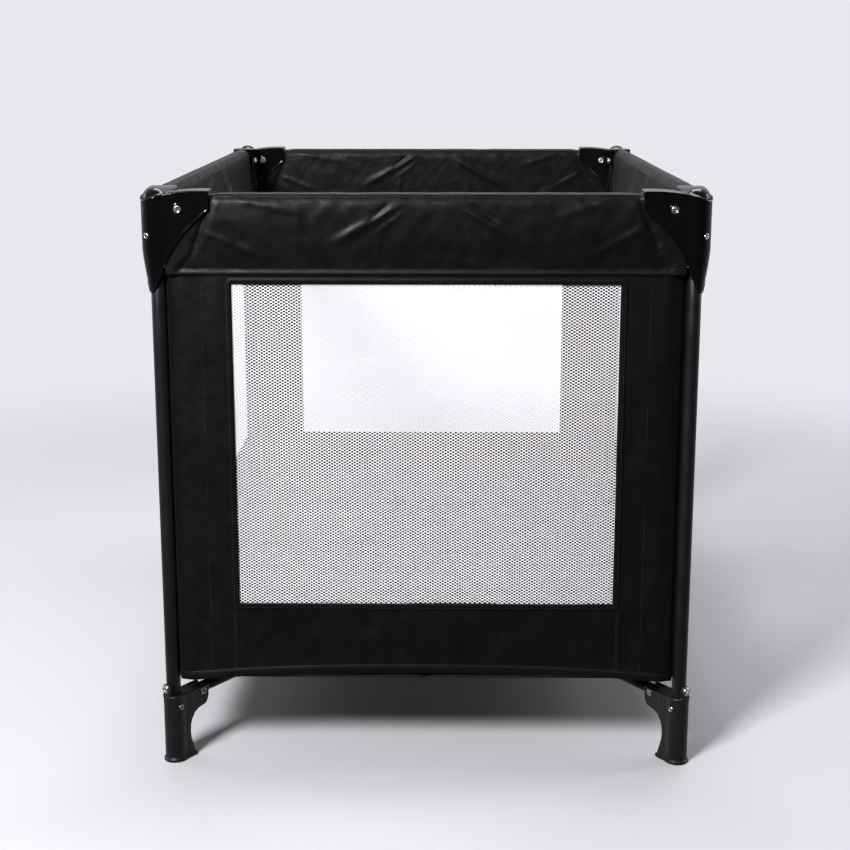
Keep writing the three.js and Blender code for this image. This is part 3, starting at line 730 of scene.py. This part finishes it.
# Pulls in the outer face: from (along, height) to (along, height), then width and height of the ridge.
COVER_PULLS = [
    (-34, 6, -140, -52, 7.0, 4.0), (50, 0, 150, -54, 9.0, 4.5), (-46, 10, -80, -20, 4.0, -3.0),
    (60, 8, 96, -18, 4.0, -3.0), (-30, -4, -70, -34, 3.5, 2.5), (44, -6, 78, -44, 3.5, 2.0),
    (-250, 14, -150, -6, 6.0, 2.0), (240, 14, 165, -12, 6.0, 2.0), (-20, -60, 90, -72, 5.0, 1.5),
    (-290, -30, -200, -66, 7.0, 2.5), (285, -22, 205, -66, 7.0, 2.5), (-66, -70, -58, -30, 4.0, 1.5),
]


def chaikin(points, rounds):
    points = np.asarray(points, float)
    for _ in range(rounds):
        a, b = points[:-1], points[1:]
        cut = np.stack([a * 0.75 + b * 0.25, a * 0.25 + b * 0.75], 1).reshape(-1, 2)
        points = np.concatenate([points[:1], cut, points[-1:]])
    return points


def resampled(points, step):
    travelled = np.concatenate([[0], np.cumsum(np.linalg.norm(np.diff(points, axis=0), axis=1))])
    at = np.linspace(0, travelled[-1], int(round(travelled[-1] / step)) + 1)
    return np.stack([np.interp(at, travelled, points[:, i]) for i in range(points.shape[1])], 1)


def ripples(u, z, seed, size, count=14):
    """A sum of waves in many directions, from -1 to 1, the same for a given seed."""
    draw = np.random.default_rng(seed)
    total = np.zeros(np.shape(u))
    for _ in range(count):
        angle, phase = draw.uniform(0, math.pi), draw.uniform(0, 2 * math.pi)
        length = size * draw.uniform(0.6, 1.8)
        total += np.sin(2 * math.pi * (u * math.cos(angle) + z * math.sin(angle)) / length + phase)
    return total / math.sqrt(count) / 1.6


def pulls(u, z, ridges):
    total = np.zeros(np.shape(u))
    for u0, z0, u1, z1, width, height in ridges:
        du, dz = u1 - u0, z1 - z0
        length = math.hypot(du, dz)
        share = ((u - u0) * du + (z - z0) * dz) / length ** 2
        away = ((u - u0) * dz - (z - z0) * du) / length
        # a pull starts tight and spreads out as it runs away
        spread = width * (0.35 + 0.6 * np.clip(share, 0, 1))
        taper = smooth(share, -0.12, 0.12) * (1 - smooth(share, 0.65, 1.05))
        total += height * taper * np.exp(-(away / spread) ** 2)
    return total


def scattered_pulls(half, seed):
    """Pulls for the long sides: near the middle lock as at the ends, and finer ones by the caps."""
    draw = np.random.default_rng(seed)
    found = []
    for sign in (-1, 1):
        for _ in range(5):
            u = sign * draw.uniform(48, 90)
            found.append((u, draw.uniform(-4, 14), u + sign * draw.uniform(50, 120),
                          draw.uniform(-60, -25), draw.uniform(3, 7), draw.uniform(1.5, 4.0)))
        for _ in range(26):
            u = sign * (half - draw.uniform(60, 210))
            found.append((u, draw.uniform(0, 17), u + draw.uniform(-16, 16), draw.uniform(-70, -25),
                          draw.uniform(1.8, 3.4), draw.uniform(-1.8, 1.8)))
    return found


def cover_surface(half, seed):
    """(rows, columns, 3) of (along, outwards, height above the rail) in millimetres, with a mask of
    what stays sewn or tucked in."""
    section = resampled(chaikin(COVER_SECTION, 3), COVER_STEP)
    columns = int(round(2 * half / COVER_STEP))
    heights, ends = np.array(FOLD_LINE).T
    rows, pinned = [], []
    for index, (w, z) in enumerate(section):
        fold = np.interp(z, heights, ends)
        outer = w > 0
        end = max(OUTER_END if outer else INNER_END, fold - TUCK_LENGTH)
        u = np.linspace(-half + end, half - end, columns)
        inner = half - np.abs(u)                                   # distance from the nearer leg axis
        free = smooth(inner, fold - 3, fold + 7) if outer else smooth(inner, fold, fold + 20)
        tuck_w = np.clip(w, -TUCK_WIDTH, TUCK_WIDTH)
        rows.append(np.stack([u, tuck_w + (w - tuck_w) * free,
                              np.minimum(z, TUCK_TOP) + max(z - TUCK_TOP, 0) * free], 1))
        seam = index < 2 or index > len(section) - 3
        pinned.append((inner < fold - 4) | seam | (z > 17.5))
    surface, pinned = np.array(rows), np.array(pinned)
    u, w, z = surface[..., 0], surface[..., 1], surface[..., 2]
    outward = np.gradient(surface[:, :, 1:], axis=0)
    outward /= np.maximum(np.linalg.norm(outward, axis=2, keepdims=True), 1e-9)
    normal_w, normal_z = outward[..., 1], -outward[..., 0]
    ridges = scattered_pulls(half, seed) if is_long(half) else COVER_PULLS
    mirrored = [(-a, b, -c, d, e, f) for a, b, c, d, e, f in ridges]
    fold = np.interp(z, heights, ends)
    calm = smooth(half - np.abs(u), fold - 2, fold + 14) * smooth(z, -84, -70)
    height = np.where(w > 0, pulls(u, z, ridges), pulls(u, z, mirrored))
    height = 0.7 * height + 0.5 * ripples(u, z * 1.4, seed, 46) + 0.3 * ripples(u, z, seed + 1, 17)
    height = np.where(z > 12, height * 0.45, height) * calm
    surface[..., 1] += normal_w * height
    surface[..., 2] += normal_z * height
    if is_long(half):
        surface[..., 2] += LONG_SIDE_RISE * smooth(z, 6, 20) * calm
    return surface, pinned


def settle(points, faces, pinned, core, frames=24, grow=0.03, pressure=0.0, limit=3.0 * MM):
    """Runs a cloth over a solid core and gives back its points, each moved at most `limit`."""
    scene = bpy.context.scene
    cloth = mesh_object("settling", points, faces)
    held = cloth.vertex_groups.new(name="held")
    held.add([int(i) for i in np.flatnonzero(pinned)], 1.0, "REPLACE")
    solid = None
    if core is not None:
        solid = mesh_object("core", *core)
        solid.modifiers.new("collision", "COLLISION")
        solid.collision.thickness_outer = 0.6 * MM
    modifier = cloth.modifiers.new("cloth", "CLOTH")
    settings = modifier.settings
    settings.quality = 6
    settings.mass = 0.12
    settings.tension_stiffness = settings.compression_stiffness = 18
    settings.shear_stiffness = 6
    settings.bending_stiffness = 0.04
    settings.air_damping = 2
    settings.shrink_min = -grow
    if pinned.any():
        settings.vertex_group_mass = "held"
    if pressure:
        settings.use_pressure = True
        settings.uniform_pressure_force = pressure
        settings.effector_weights.gravity = 0
    modifier.collision_settings.distance_min = 1.0 * MM
    modifier.collision_settings.use_self_collision = False
    modifier.point_cache.frame_start, modifier.point_cache.frame_end = 1, frames
    scene.frame_start, scene.frame_end = 1, frames
    for number in range(1, frames + 1):
        scene.frame_set(number)
    result = cloth.evaluated_get(bpy.context.evaluated_depsgraph_get()).to_mesh()
    moved = np.zeros(len(result.vertices) * 3)
    result.vertices.foreach_get("co", moved)
    moved = moved.reshape(-1, 3)
    step = moved - points
    size = np.linalg.norm(step, axis=1, keepdims=True)
    step *= np.minimum(1, limit / np.maximum(size, 1e-9))
    scene.frame_set(1)
    for made in filter(None, (cloth, solid)):
        bpy.data.objects.remove(made)
    return points + np.nan_to_num(step)


def cover_core(half):
    """What fills a cover: the rail and its lock, as one long bar with eased edges."""
    outline = [(-12.4, -84), (-12.4, 6), (-9, 14), (-3, 17.6), (4, 17.6), (11, 14), (13.2, 6), (12.0, -84)]
    ends = np.array([-half + 14, half - 14]) * MM
    points = [(u, w * MM, RAIL_Z + z * MM) for u in ends for w, z in outline]
    count = len(outline)
    faces = [(i, (i + 1) % count, (i + 1) % count + count, i + count) for i in range(count)]
    return np.array(points), faces + [tuple(range(count))[::-1], tuple(range(count, 2 * count))]


def rail_covers():
    shapes = {}
    for name, side in SIDES.items():
        half = side["half"] / MM
        key = round(half)
        if key not in shapes:
            surface, pinned = cover_surface(half, seed=key)
            points = surface.reshape(-1, 3) * MM + (0, 0, RAIL_Z)
            faces = grid_faces(*surface.shape[:2])
            points = settle(points, faces, pinned.ravel(), cover_core(half))
            shapes[key] = points, faces, surface.shape
        points, faces, shape = shapes[key]
        made = piece(f"cover_{name}", on_side(name, points), faces, "nylon", None, [f"rail_cover_{name}"])
        thicken(made, COVER_THICKNESS)
        smoothed(made)
        ride_side(made, name)
        lift = outwards(name) * COVER_THICKNESS * 0.55
        rows = points.reshape(*shape)[1:3]                # two rows along the bottom edge
        sewn_rows("cover", name, [on_side(name, row) + lift for row in rows])


# --- fabric walls

WALL_PLANE = 11.6                 # outwards from the leg axes
WALL_THICKNESS = 1.1
WALL_END = 11.8                   # leg axis to where the wall meets the sleeve
WALL_TURN = 34.0                  # leg axis to where the wall has come out to its own plane
WALL_TOP = RAIL_Z / MM - 78.0
WINDOW_TOP = RAIL_Z / MM - 96.0
WINDOW_BOTTOM = 234.0
WINDOW_MARGIN = {"end": 95.0, "side": 26.0}      # leg axis to the window
HEM_MIDDLE, HEM_END, HEM_POWER = 136.0, 122.0, 2.5
WALL_STEP = 7.0
BINDING = 9.0                     # width of the tape round the window
HOLE_PITCH_U, HOLE_PITCH_Z = 6.8, 4.15
HOLE_U, HOLE_Z = 2.05, 1.3       # half width and half height of a hole


def window_margin(half):
    return WINDOW_MARGIN["side" if is_long(half) else "end"]


def hem_height(u, end):
    return HEM_MIDDLE - (HEM_MIDDLE - HEM_END) * np.abs(u / end) ** HEM_POWER


def lines(stops, step):
    """Grid lines that pass through every stop, about `step` apart."""
    found = [stops[:1]]
    for a, b in zip(stops, stops[1:]):
        found.append(np.linspace(a, b, max(1, int(round((b - a) / step))) + 1)[1:])
    return np.concatenate(found)


def wall_wave(u, z, half, seed):
    """How far the wall fabric stands out of its plane: still along its seams, loose in between."""
    window = half - window_margin(half)
    by_side = smooth(half - np.abs(u), 8, 26) * smooth(np.abs(np.abs(u) - window), 3, 22)
    by_edge = smooth(np.abs(z - WINDOW_BOTTOM), 3, 22) * smooth(z - hem_height(u, half), 2, 16)
    inside = (np.abs(u) < window) & (z > WINDOW_BOTTOM)
    loose = np.where(inside, 0, np.minimum(by_side + (np.abs(u) < window) * 1.0, 1) * by_edge)
    return loose * (1.3 * ripples(u, z * 0.55, seed, 60) + 0.7 * ripples(u, z, seed + 1, 26))


def wall_plane(u, half):
    """How far out the wall stands: beside the legs it curves back in to the sleeve."""
    return WALL_PLANE - (WALL_PLANE - 1.2) * (1 - smooth(half - np.abs(u), WALL_END - 4, WALL_TURN))


def wall_border(name, half, seed):
    end, window = half - WALL_END, half - window_margin(half)
    u = lines([-end, -window, window, end], WALL_STEP)
    share = lines([0.0, 1.0, 2.0, 3.0], 1 / 14)
    uu, ss = np.meshgrid(u, share)
    hem = hem_height(uu, end)
    z = np.select([ss <= 1, ss <= 2], [hem + (WINDOW_BOTTOM - hem) * ss,
                  WINDOW_BOTTOM + (WINDOW_TOP - WINDOW_BOTTOM) * (ss - 1)],
                  WINDOW_TOP + (WALL_TOP - WINDOW_TOP) * (ss - 2))
    w = wall_plane(uu, half) + wall_wave(uu, z, half, seed)
    middle_u = (u[:-1] + u[1:]) / 2
    middle_s = (share[:-1] + share[1:]) / 2

    def keep(i, j):
        return abs(middle_u[j]) > window or not 1 < middle_s[i] < 2

    points = np.stack([uu, w, z], 2).reshape(-1, 3) * MM
    made = side_fabric(f"wall_fabric_{name}", points, grid_faces(len(share), len(u), keep=keep),
                       "nylon", name, [f"wall_{name}"], WALL_THICKNESS * MM)


def net_window(name, half, part, low, high):
    """Knitted netting with a real hole in every mesh, cut six-sided and staggered."""
    bottom, top = WINDOW_BOTTOM - 5, WINDOW_TOP + 5
    columns = int((high - low) / HOLE_PITCH_U)
    rows = int((top - bottom) / HOLE_PITCH_Z)
    ring = [(-1, 0), (-0.5, -1), (0.5, -1), (1, 0), (0.5, 1), (-0.5, 1)]
    points, number = [], {}
    for i in range(2 * columns + (part == "_a")):      # the first half reaches over to the second's edge
        for j in range(rows):
            u = low + (i + 0.5) * HOLE_PITCH_U / 2
            z = bottom + (j + 0.5 + 0.5 * (i % 2)) * HOLE_PITCH_Z
            number[i, j] = len(points)
            points += [(u + a * HOLE_U, 0, z + b * HOLE_Z) for a, b in ring]
    faces = []
    for (i, j), a in number.items():
        up = number.get((i, j + 1))
        lower, upper = (j - 1, j) if i % 2 == 0 else (j, j + 1)
        right_up, right_down = number.get((i + 1, upper)), number.get((i + 1, lower))
        if up is not None and i < 2 * columns:
            faces.append((a + 5, a + 4, up + 2, up + 1))
        if right_up is not None:
            faces.append((a + 4, a + 3, right_up + 1, right_up + 0))
        if right_down is not None:
            faces.append((a + 3, a + 2, right_down + 0, right_down + 5))
        if right_up is not None and right_down is not None:
            faces.append((a + 3, right_down + 5, right_up + 1))
        if up is not None and right_up is not None:
            faces.append((a + 4, right_up + 0, up + 2))
    points = np.array(points)
    sag = 1.2 * ripples(points[:, 0], points[:, 2], 7, 210)
    points[:, 1] = wall_plane(points[:, 0], half) - 1.0 + np.clip(sag, -0.9, 0.3)
    made = side_fabric(f"netting_{name}{part}", points * MM, faces, "mesh", name)


def binding(name, half):
    """A folded tape sewn round the window, inside and out, with a row of stitches on it."""
    window = half - window_margin(half)
    lip, back = 2.5, BINDING
    for face, offset in (("outer", 0.9), ("inner", -1.3)):
        outlines = [rounded_rectangle(window - lip + grow, WINDOW_BOTTOM + lip - grow,
                                      WINDOW_TOP - lip + grow, 1.5 + grow, 6)
                    for grow in (0, 1.0, back - 1.0, back)]
        heights = (0.0, 0.55, 0.55, 0.0)
        sign = 1 if offset > 0 else -1
        rows = [np.stack([o[:, 0], wall_plane(o[:, 0], half) + offset + sign * h, o[:, 1]], 1)
                for o, h in zip(outlines, heights)]
        count = len(rows[0])
        faces = grid_faces(len(rows), count, wrap_columns=True)
        side_fabric(f"binding_{face}_{name}", np.concatenate(rows) * MM, faces, "nylon", name,
                    thickness=0.7 * MM)
    path = rounded_rectangle(window - lip + 6.4, WINDOW_BOTTOM + lip - 6.4, WINDOW_TOP - lip + 6.4, 9, 8)
    path = np.concatenate([path, path[:1]])
    path = np.stack([path[:, 0], wall_plane(path[:, 0], half) + 1.85, path[:, 1]], 1)
    return [path]


def rounded_rectangle(half_width, bottom, top, radius, steps):
    found = []
    for sign_u, z, start in ((1, bottom, -90), (1, top, 0), (-1, top, 90), (-1, bottom, 180)):
        centre_u = sign_u * (half_width - radius)
        centre_z = z + radius if z == bottom else z - radius
        for angle in np.radians(np.linspace(start, start + 90, steps)):
            found.append((centre_u + radius * math.cos(angle), centre_z + radius * math.sin(angle)))
    return np.array(found)


def hem_band(name, half):
    """The turned-up hem: a narrow double layer along the arched bottom edge."""
    end = half - WALL_END
    u = np.linspace(-end, end, int(2 * end / 6))
    hem = hem_height(u, end)
    plane = wall_plane(u, half)
    rows = [np.stack([u, plane + w, hem + z], 1)
            for z, w in ((-0.6, 0.0), (-0.3, 1.0), (2, 1.35), (11, 1.3), (12, 0.7))]
    side_fabric(f"hem_{name}", np.concatenate(rows) * MM, grid_faces(len(rows), len(u)), "nylon", name,
                thickness=0.7 * MM)
    return [np.stack([u, plane + 1.8, hem + 9.5], 1)]


def upright_seams(half):
    """The seams that run from the window's edges down to the hem, and up the walls' own ends."""
    window, end = half - window_margin(half), half - WALL_END
    found = []
    for sign in (-1, 1):
        for u, top in ((sign * (window + 3), WINDOW_BOTTOM - 9), (sign * (window + 6), WINDOW_BOTTOM - 9),
                       (sign * (window + 0.45 * (end - window)), WALL_TOP - 20)):
            z = np.linspace(hem_height(u, end) + 12, top, 60)
            found.append(np.stack([np.full(60, u), np.full(60, wall_plane(u, half) + 0.62), z], 1))
    return found


def walls():
    for seed, (name, side) in enumerate(SIDES.items()):
        half = side["half"] / MM
        wall_border(name, half, seed * 10)
        window = half - window_margin(half) + 5
        if is_long(half):
            middle = -window + int(window / HOLE_PITCH_U) * HOLE_PITCH_U
            net_window(name, half, "_a", -window, middle)
            net_window(name, half, "_b", middle, window)
        else:
            net_window(name, half, "", -window, window)
        paths = binding(name, half) + hem_band(name, half) + upright_seams(half)
        sewn_rows("wall", name, [on_side(name, path * MM) for path in paths])


SLEEVE_RADIUS = 11.3
SLEEVE_FROM, SLEEVE_TO = math.radians(-12), math.radians(102)


def corner_sleeves():
    """At each corner the two walls join in a strip of fabric that runs round the leg's inner side."""
    for corner in CORNERS:
        angles = np.linspace(SLEEVE_FROM, SLEEVE_TO, 22)
        heights = lines([HEM_END + 3, 140.0, 660.0, WALL_TOP + 26], 14)
        aa, zz = np.meshgrid(angles, heights)
        radius = SLEEVE_RADIUS + 0.35 * ripples(aa * 12, zz, 3, 50)
        points = np.stack([radius * np.cos(aa), radius * np.sin(aa), zz], 2).reshape(-1, 3)
        made = piece(f"corner_sleeve_{corner}", at_corner(points, corner),
                     grid_faces(len(heights), len(angles)), "nylon", f"leg_{corner}")
        thicken(made, 0.9 * MM)


# --- floor

FLOOR_STEP = 12.0
HUB_HOLE = 13.0                   # radius of the hole over the hub


def floor():
    """The fabric floor in four quarters, each riding on its own base tube."""
    high = box("floor_panel")[1]
    notch = LEG_RADIUS / MM + 4
    for index, (corner, (sign_x, sign_y)) in enumerate(CORNERS.items()):
        x = lines([0.0, HALF_X / MM - notch, high[0] / MM - 0.5], FLOOR_STEP)
        y = lines([0.0, HALF_Y / MM - notch, high[1] / MM - 0.5], FLOOR_STEP)
        xx, yy = np.meshgrid(x, y, indexing="ij")
        from_edge = np.minimum(high[0] / MM - xx, high[1] / MM - yy)
        sag = 0.9 * ripples(xx, yy, 21, 130) * smooth(from_edge, 5, 60)
        zz = FLOOR_Z / MM - 0.7 - 1.2 * smooth(np.hypot(xx, yy), 30, 120) * (0.6 + 0.4 * sag)
        middle_x, middle_y = (x[:-1] + x[1:]) / 2, (y[:-1] + y[1:]) / 2
        corner_x, corner_y = HALF_X / MM - notch, HALF_Y / MM - notch

        def keep(i, j):
            past_corner = middle_x[i] > corner_x and middle_y[j] > corner_y
            return not past_corner and math.hypot(middle_x[i], middle_y[j]) >= HUB_HOLE

        faces = grid_faces(len(x), len(y), keep=keep)
        if sign_x * sign_y < 0:
            faces = [face[::-1] for face in faces]
        points = np.stack([sign_x * xx, sign_y * yy, zz], 2).reshape(-1, 3) * MM
        made = piece(f"floor_{corner}", points, faces, "nylon", None,
                     ["floor_panel"] if index == 0 else ())
        thicken(made, 1.1 * MM)
        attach(made, f"base_tube_{corner}")
        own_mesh(made)


# --- mattress

SEGMENTS = 4


def mattress_outline(low, high, rounded):
    """A segment's outline from above, counter-clockwise, about 5 mm between points."""
    (x0, y0), (x1, y1) = low, high
    radius = {"front": 45.0, "back": 6.0} if rounded else {"front": 6.0, "back": 6.0}
    found = []
    for x, y, start, end in ((x0, y0, 180, "front"), (x1, y0, 270, "front"), (x1, y1, 0, "back"),
                             (x0, y1, 90, "back")):
        r = radius[end]
        cx, cy = (x0 + r if x == x0 else x1 - r), (y0 + r if y == y0 else y1 - r)
        for angle in np.radians(np.linspace(start, start + 90, 10 if r > 10 else 5)):
            found.append((cx + r * math.cos(angle), cy + r * math.sin(angle)))
    return np.array(found)


def pad_shape(low, high, bottom, top, rounded):
    """A crowned pad whose sides pull in at the seam, as points and faces in millimetres."""
    outline = mattress_outline(low, high, rounded)
    ring = resampled(np.concatenate([outline, outline[:1]]), 5.0)[:-1]
    middle = ring.mean(0)
    box_half = (np.array(high) - low) / 2
    rows = []
    for inset, z in ((30, bottom), (12, bottom), (4, bottom + 0.6), (1.2, bottom + 3),
                     (0.4, (bottom + top) / 2), (1.2, top - 3), (4, top - 0.6), (12, top), (30, top)):
        shrunk = (ring - middle) * (1 - inset / box_half)
        rows.append(np.column_stack([middle + shrunk, np.full(len(ring), z)]))
    return np.concatenate(rows), grid_faces(len(rows), len(ring), wrap_columns=True), len(ring)


def pad_mesh(name, low, high, bottom, top, rounded):
    """The pad as an evenly remeshed solid, swollen by cloth pressure."""
    points, faces, count = pad_shape(low, high, bottom, top, rounded)
    last = len(points) - count
    faces = faces + [tuple(range(count))[::-1], tuple(range(last, last + count))]
    made = mesh_object(name, points * MM, faces)
    remesh = made.modifiers.new("even", "REMESH")
    remesh.mode, remesh.voxel_size = "VOXEL", 6 * MM
    remesh.use_smooth_shade = True
    even = made.evaluated_get(bpy.context.evaluated_depsgraph_get()).to_mesh()
    even_points = np.array([v.co[:] for v in even.vertices])
    even_faces = [tuple(p.vertices) for p in even.polygons]
    made.evaluated_get(bpy.context.evaluated_depsgraph_get()).to_mesh_clear()
    bpy.data.objects.remove(made)
    held = even_points[:, 2] < (bottom + 0.8) * MM
    even_points = settle(even_points, even_faces, held, None, frames=16, grow=0.012, pressure=2.5,
                         limit=4.0 * MM)
    # quilting: two shallow sewn lines across the top
    x, y, z = even_points.T / MM
    on_top = smooth(z, (bottom + top) / 2, top)
    x_mid = (low[0] + high[0]) / 2
    line = np.exp(-((np.abs(x - x_mid) - 0.5 * (high[0] - x_mid)) / 4.0) ** 2)
    wave = 0.4 * ripples(x, y, 5, 70) + 0.2 * ripples(x, y, 6, 24)
    even_points[:, 2] += (wave - 1.4 * line) * on_top * MM
    return even_points, even_faces


def mattress():
    shapes = {}
    ease = 2.0
    for number in range(1, SEGMENTS + 1):
        low, high = box(f"mattress_segment_{number}")
        end_segment = number in (1, SEGMENTS)
        if end_segment not in shapes:
            shapes[end_segment] = pad_mesh("pad", low[:2] / MM + ease, high[:2] / MM - ease,
                                           low[2] / MM + 0.5, high[2] / MM - 1.5, end_segment)
        points, faces = shapes[end_segment]
        moved = points.copy()
        if number > SEGMENTS / 2:                         # the back half is the front half turned round
            moved[:, :2] *= -1
        made = piece(f"mattress_pad_{number}", moved, faces, "mattress_fabric", None,
                     [f"mattress_segment_{number}"])
        smoothed(made)
        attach(made, f"mattress_{number}")
        lift(made)
        piping(number, low, high, end_segment)


def lift(made):
    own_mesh(made)


def piping(number, low, high, end_segment):
    """A corded edge round the middle of a pad's side."""
    ease = 1.6
    outline = mattress_outline(low[:2] / MM + ease, high[:2] / MM - ease, end_segment)
    if number == SEGMENTS:
        middle = (low[:2] + high[:2]) / MM / 2
        outline = 2 * middle - outline
    path = resampled(np.concatenate([outline, outline[:1]]), 9.0)[:-1]
    path = np.column_stack([path, np.full(len(path), high[2] / MM - 5.5)])
    ahead = np.roll(path, -1, 0) - np.roll(path, 1, 0)
    ahead /= np.linalg.norm(ahead, axis=1, keepdims=True)
    side = np.column_stack([ahead[:, 1], -ahead[:, 0], np.zeros(len(path))])
    angles = np.linspace(0, 2 * math.pi, 8, endpoint=False)
    rings = [path + 1.9 * (math.cos(a) * side + math.sin(a) * np.array([0, 0, 1])) for a in angles]
    points = np.stack(rings, 1).reshape(-1, 3) * MM
    made = piece(f"piping_{number}", points, grid_faces(len(path), 8, wrap_rows=True, wrap_columns=True),
                 "mattress_fabric", f"mattress_{number}")
    lift(made)


# --- strap, locks and buttons

def strap():
    """The webbing loop that folds the cot: flat tape with a box of stitches."""
    low, high = box("pull_strap")
    half = (high[0] - low[0]) / 2
    edge = high[1] - half
    rows = []
    for share in np.linspace(-1, 1, 7):
        reach = edge + math.sqrt(max(0.0, 1 - share * share)) * half
        column = np.linspace(low[1], reach, 60)
        z = (low[2] + high[2]) / 2 + 0.25 * MM * np.sin(column / 9 / MM) * (1 - share * share)
        rows.append(np.stack([np.full(60, share * half), column, z], 1))
    made = piece("strap_tape", np.concatenate(rows), grid_faces(7, 60), "webbing", "base_hub",
                 ["pull_strap"])
    thicken(made, high[2] - low[2] - 0.5 * MM)
    inset = half * 0.62
    corners = [(-inset, low[1] + 4 * MM), (inset, low[1] + 4 * MM), (inset, low[1] + 28 * MM),
               (-inset, low[1] + 28 * MM), (-inset, low[1] + 4 * MM), (inset, low[1] + 28 * MM)]
    path = np.array([(x, y, high[2] - 0.1 * MM) for x, y in corners])
    piece("strap_stitches", *stitches(path, (0, 0, 1)), "webbing", "base_hub", material=THREAD)


def cad_finishes():
    """CAD pieces that stay as they are take a soft edge and their finish."""
    for node in frame["nodes"].values():
        if node.hide_render:
            continue
        node.data.materials.clear()
        node.data.materials.append(FINISH["satin_plastic"])
        bevel = node.modifiers.new("soft edges", "BEVEL")
        bevel.width, bevel.segments = 0.6 * MM, 2
        bevel.limit_method, bevel.angle_limit = "ANGLE", math.radians(35)


# --- camera, light and floor

PAPER = (0.815, 0.800, 0.850)


def behind(tree, coordinates, limits):
    """A value that grows towards the back of the studio."""
    split = tree.nodes.new("ShaderNodeSeparateXYZ")
    place = tree.nodes.new("ShaderNodeTexCoord").outputs[coordinates]
    tree.links.new(place, split.inputs["Vector"])
    return map_range(tree, split.outputs["Y"], limits)


def mixed(tree, share, first, second, output):
    mix = tree.nodes.new("ShaderNodeMixShader")
    for source, socket in ((share, "Fac"), (first, 1), (second, 2)):
        tree.links.new(source, mix.inputs[socket])
    tree.links.new(mix.outputs["Shader"], output)


def stage():
    """A pale seamless floor that fades into the background's own colour."""
    half = 40.0
    corners = [(-half, -half, 0), (half, -half, 0), (half, half, 0), (-half, half, 0)]
    made = mesh_object("studio_floor", corners, [(0, 1, 2, 3)])
    paper = bpy.data.materials.new("studio paper")
    paper.use_nodes = True
    tree = paper.node_tree
    shader = tree.nodes["Principled BSDF"]
    shader.inputs["Base Color"].default_value = (0.57, 0.56, 0.585, 1)
    shader.inputs["Roughness"].default_value = 0.9
    shader.inputs["Specular IOR Level"].default_value = 0.1
    glow = tree.nodes.new("ShaderNodeEmission")
    glow.inputs["Color"].default_value = (*PAPER, 1)
    strength = tree.nodes.new("ShaderNodeMath")
    strength.operation = "MAXIMUM"
    tree.links.new(behind(tree, "Object", (-1.5, 2.5, 0.01, 0.4)), strength.inputs[0])
    seen = tree.nodes.new("ShaderNodeLightPath").outputs["Is Camera Ray"]
    tree.links.new(seen, strength.inputs[1])
    tree.links.new(strength.outputs["Value"], glow.inputs["Strength"])
    distance = tree.nodes.new("ShaderNodeVectorMath")
    distance.operation = "LENGTH"
    place = tree.nodes.new("ShaderNodeTexCoord").outputs["Object"]
    tree.links.new(place, distance.inputs[0])
    fade = map_range(tree, distance.outputs["Value"], (0.8, 2.6, 0, 1), "SMOOTHERSTEP")
    mixed(tree, fade, shader.outputs["BSDF"], glow.outputs["Emission"],
          tree.nodes["Material Output"].inputs["Surface"])
    made.data.materials.append(paper)
    made.visible_glossy = False


def world():
    made = bpy.data.worlds.new("studio")
    made.use_nodes = True
    tree = made.node_tree
    seen = tree.nodes["Background"]
    lit = tree.nodes.new("ShaderNodeBackground")
    for background in (seen, lit):
        background.inputs["Color"].default_value = (*PAPER, 1)
    tree.links.new(behind(tree, "Generated", (-0.6, 0.8, 0.012, 0.6)), lit.inputs["Strength"])
    mixed(tree, tree.nodes.new("ShaderNodeLightPath").outputs["Is Camera Ray"],
          lit.outputs["Background"], seen.outputs["Background"],
          tree.nodes["World Output"].inputs["Surface"])
    bpy.context.scene.world = made
    bpy.context.scene.view_settings.view_transform = "Standard"


def softbox(name, place, target, width, height, power):
    light = bpy.data.lights.new(name, "AREA")
    light.shape, light.size, light.size_y = "RECTANGLE", width, height
    light.energy = power
    made = bpy.data.objects.new(name, light)
    made.location = place
    made.rotation_euler = (Vector(target) - Vector(place)).to_track_quat("-Z", "Y").to_euler()
    bpy.context.scene.collection.objects.link(made)


def studio():
    softbox("key", (-1.5, -2.8, 2.4), (0, -0.3, 0.4), 0.8, 0.8, 185)
    softbox("overhead", (0.2, 0.9, 3.1), (0, 0.2, 0.3), 2.2, 1.4, 58)
    softbox("left", (-2.9, 0.7, 1.4), (0, 0, 0.5), 0.7, 1.8, 16)
    softbox("right", (2.8, 0.3, 1.5), (0, 0, 0.5), 0.7, 1.8, 20)


def camera():
    lens = bpy.data.cameras.new("camera")
    lens.lens, lens.sensor_width = 67.6, 36
    made = bpy.data.objects.new("camera", lens)
    made.location = (0.0237, -2.60, 0.97)
    made.rotation_euler = (math.radians(77), 0, math.radians(0.68))
    bpy.context.scene.collection.objects.link(made)
    bpy.context.scene.camera = made


# --- the whole

camera()
world()
studio()
stage()
corner_caps()
feet()
hub()
tubes()
fasteners()
rail_covers()
walls()
corner_sleeves()
floor()
mattress()
strap()
cad_finishes()
